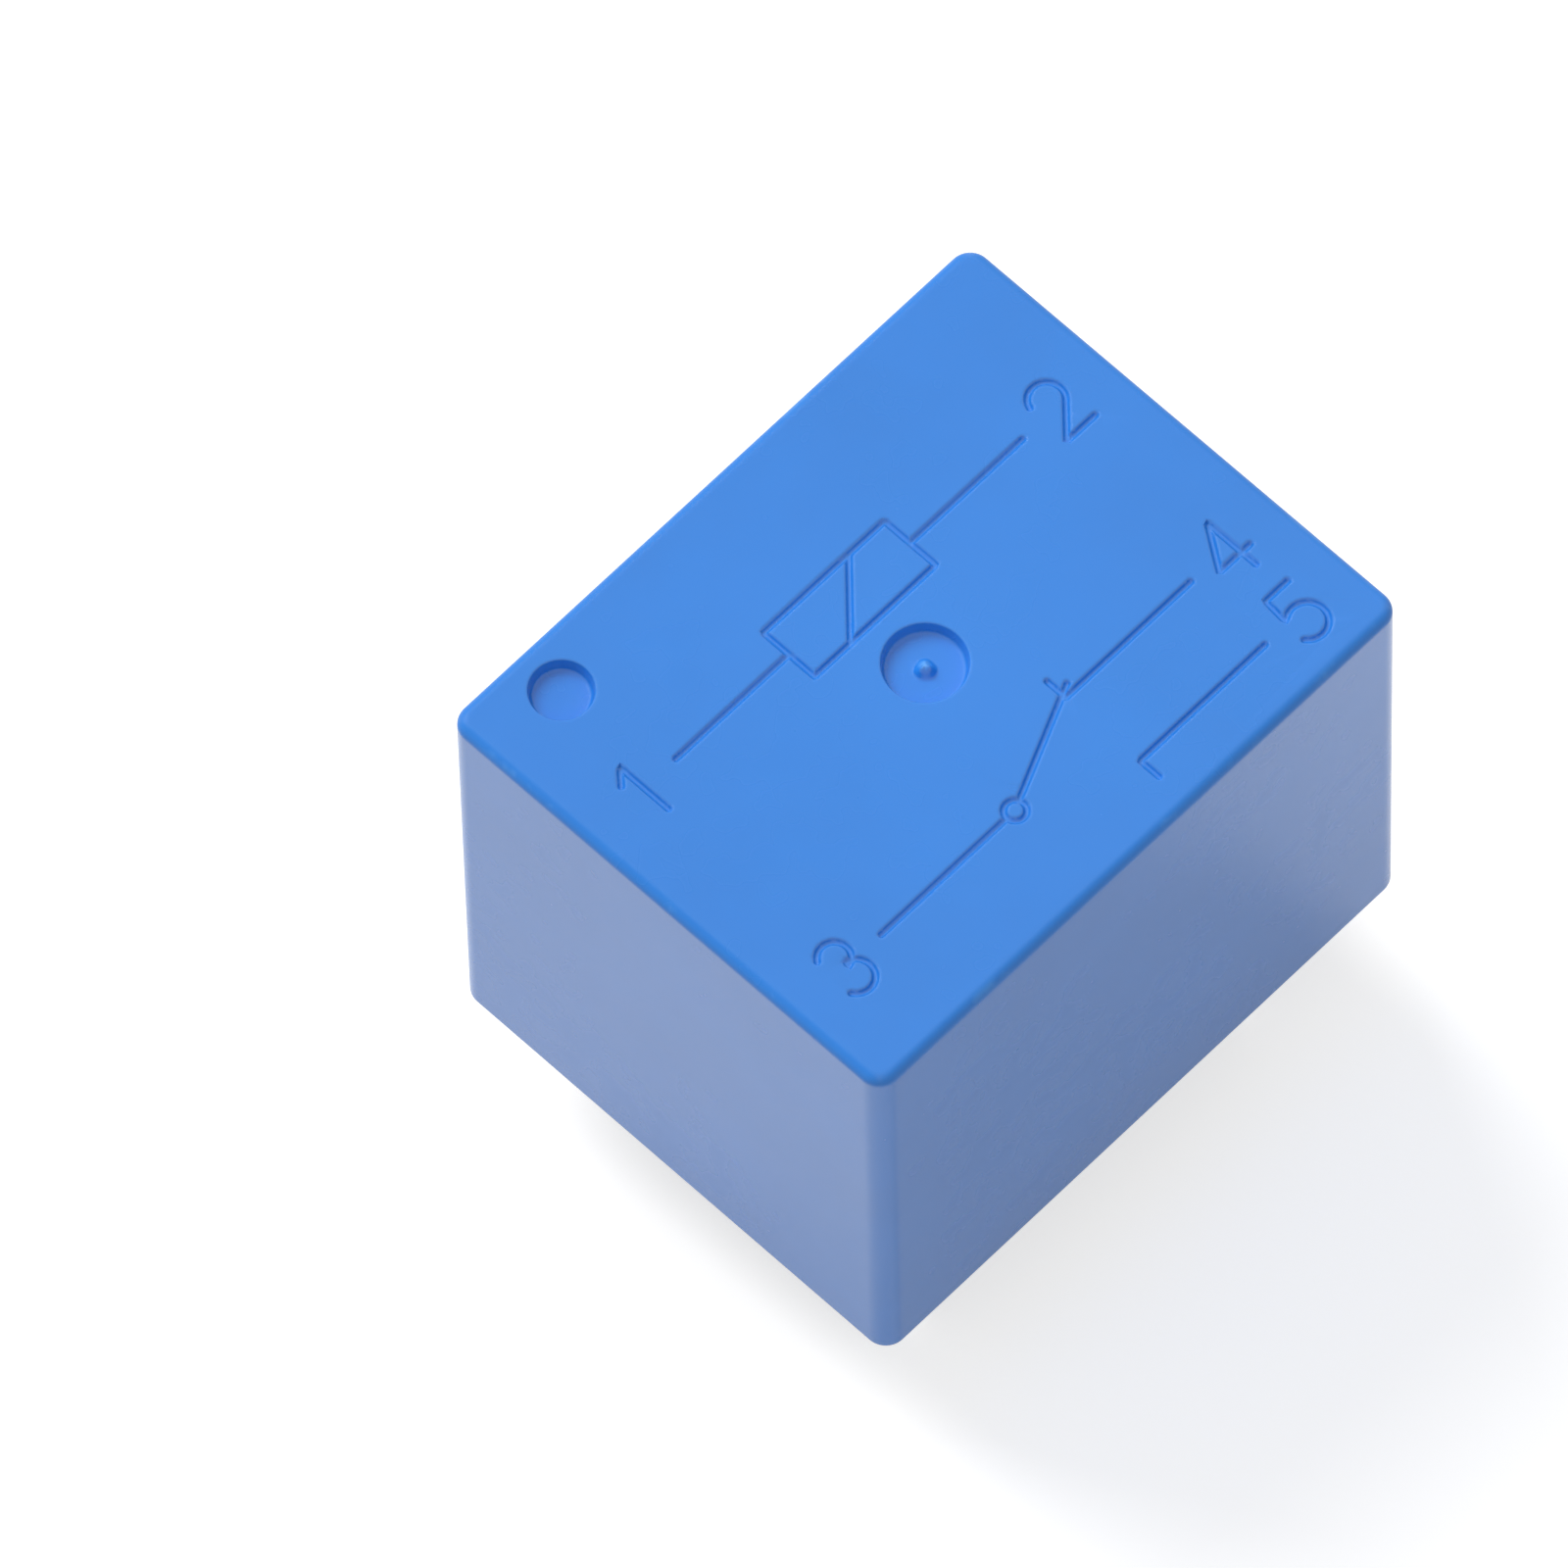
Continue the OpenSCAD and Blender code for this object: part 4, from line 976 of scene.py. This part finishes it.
def floor_material(s):
    """Pale floor: grey paper under the light, raised to white where it is seen, less so where it is
    mirrored, and clear from below."""
    material = bpy.data.materials.new("Floor paper")
    material.use_nodes = True
    tree = material.node_tree
    tree.nodes.remove(tree.nodes["Principled BSDF"])
    camera = node(tree, "ShaderNodeLightPath").outputs["Is Camera Ray"]
    mirrored = spread(tree, seen_directly(tree), 0.0, s.floor_mirrored)
    strength = worked_out(tree, "MAXIMUM", spread(tree, camera, 0.0, s.floor_glow), mirrored)
    paper = node(tree, "ShaderNodeBsdfDiffuse", {"Color": tone([s.floor_grey] * 3)}).outputs["BSDF"]
    glow = node(tree, "ShaderNodeEmission", {"Strength": strength}).outputs["Emission"]
    both = node(tree, "ShaderNodeAddShader", {0: paper, 1: glow}).outputs["Shader"]
    clear = node(tree, "ShaderNodeBsdfTransparent").outputs["BSDF"]
    below = node(tree, "ShaderNodeNewGeometry").outputs["Backfacing"]
    choice = node(tree, "ShaderNodeMixShader", {0: below, 1: both, 2: clear}).outputs["Shader"]
    tree.links.new(choice, tree.nodes["Material Output"].inputs["Surface"])
    return material


class RELAY_OT_stage(bpy.types.Operator):
    """Lays the floor, hangs the lights and sets the camera."""

    bl_idname = "relay.stage"
    bl_label = "Stage"

    def execute(self, context):
        s = context.scene.relay_stage
        self.lay_floor(s)
        self.set_light(context, s)
        self.set_camera(context, s)
        context.scene.view_settings.view_transform = "Standard"
        return {"FINISHED"}

    def lay_floor(self, s):
        corners = mm(s.floor_size) / 2 * np.array([(-1, -1), (1, -1), (1, 1), (-1, 1)])
        quad = np.arange(len(corners))[None]
        floor = new_piece("floor", lifted(corners, mm(CAD_BOX[0][2])), [quad], floor_material(s), sharp=30)

    def set_light(self, context, s):
        lights = (("Soft sun", s.sun, s.sun_from), ("Soft fill", s.fill, s.fill_from))
        for name, strength, direction in lights:
            lamp = bpy.data.lights.new(name, "SUN")
            lamp.energy, lamp.angle = strength, s.sun_width
            light = linked(name, lamp)
            light.rotation_euler = Vector(direction).to_track_quat("Z", "Y").to_euler()
            light.visible_glossy = False
        world = bpy.data.worlds.new("White room")
        world.use_nodes = True
        tree = world.node_tree
        back = tree.nodes["Background"].inputs
        back["Color"].default_value = (1.0, 1.0, 1.0, 1.0)
        tree.links.new(spread(tree, seen_directly(tree), s.sky, 1.0), back["Strength"])
        context.scene.world = world

    def set_camera(self, context, s):
        aimed = Matrix.Rotation(s.azimuth, 4, "Z") @ Matrix.Rotation(QUARTER - s.elevation, 4, "X")
        aimed @= Matrix.Rotation(s.roll, 4, "Z")
        away = Matrix.Translation((-s.pan_x, -s.pan_y, s.distance))
        lens = bpy.data.cameras.new("Camera")
        lens.lens = s.lens
        camera = linked("Camera", lens)
        camera.matrix_world = Matrix.Translation((0.0, 0.0, s.aim)) @ aimed @ away
        context.scene.camera = camera


class RELAY_PT_sidebar(bpy.types.Panel):
    """Lists the relay's makers and their settings."""

    bl_idname = "RELAY_PT_sidebar"
    bl_label = "Sealed relay"
    bl_space_type = "VIEW_3D"
    bl_region_type = "UI"
    bl_category = "Relay"

    def draw(self, context):
        for maker, group, name in MAKERS:
            part = self.layout.box()
            part.operator(maker.bl_idname)
            for setting in group.__annotations__:
                part.prop(getattr(context.scene, name), setting)


MAKERS = [
    (RELAY_OT_cover, RelayCoverSettings, "relay_cover"),
    (RELAY_OT_seal, RelaySealSettings, "relay_seal"),
    (RELAY_OT_coil, RelayCoilSettings, "relay_coil"),
    (RELAY_OT_blade, RelayBladeSettings, "relay_blade"),
    (RELAY_OT_finishes, RelayFinishSettings, "relay_finish"),
    (RELAY_OT_stage, RelayStageSettings, "relay_stage"),
]


def register():
    """Makes the settings, makers and panel known."""
    for maker, group, name in MAKERS:
        bpy.utils.register_class(group)
        setattr(bpy.types.Scene, name, PointerProperty(type=group))
        bpy.utils.register_class(maker)
    bpy.utils.register_class(RELAY_PT_sidebar)


def unregister():
    """Takes the panel, makers and settings away again."""
    bpy.utils.unregister_class(RELAY_PT_sidebar)
    for maker, group, name in reversed(MAKERS):
        bpy.utils.unregister_class(maker)
        delattr(bpy.types.Scene, name)
        bpy.utils.unregister_class(group)


def main():
    """Makes every piece in order."""
    register()
    bpy.ops.relay.cover()
    bpy.ops.relay.seal()
    bpy.ops.relay.coil()
    bpy.ops.relay.blade()
    bpy.ops.relay.finishes()
    bpy.ops.relay.stage()
    bpy.context.view_layer.update()


if __name__ == "__main__":
    main()
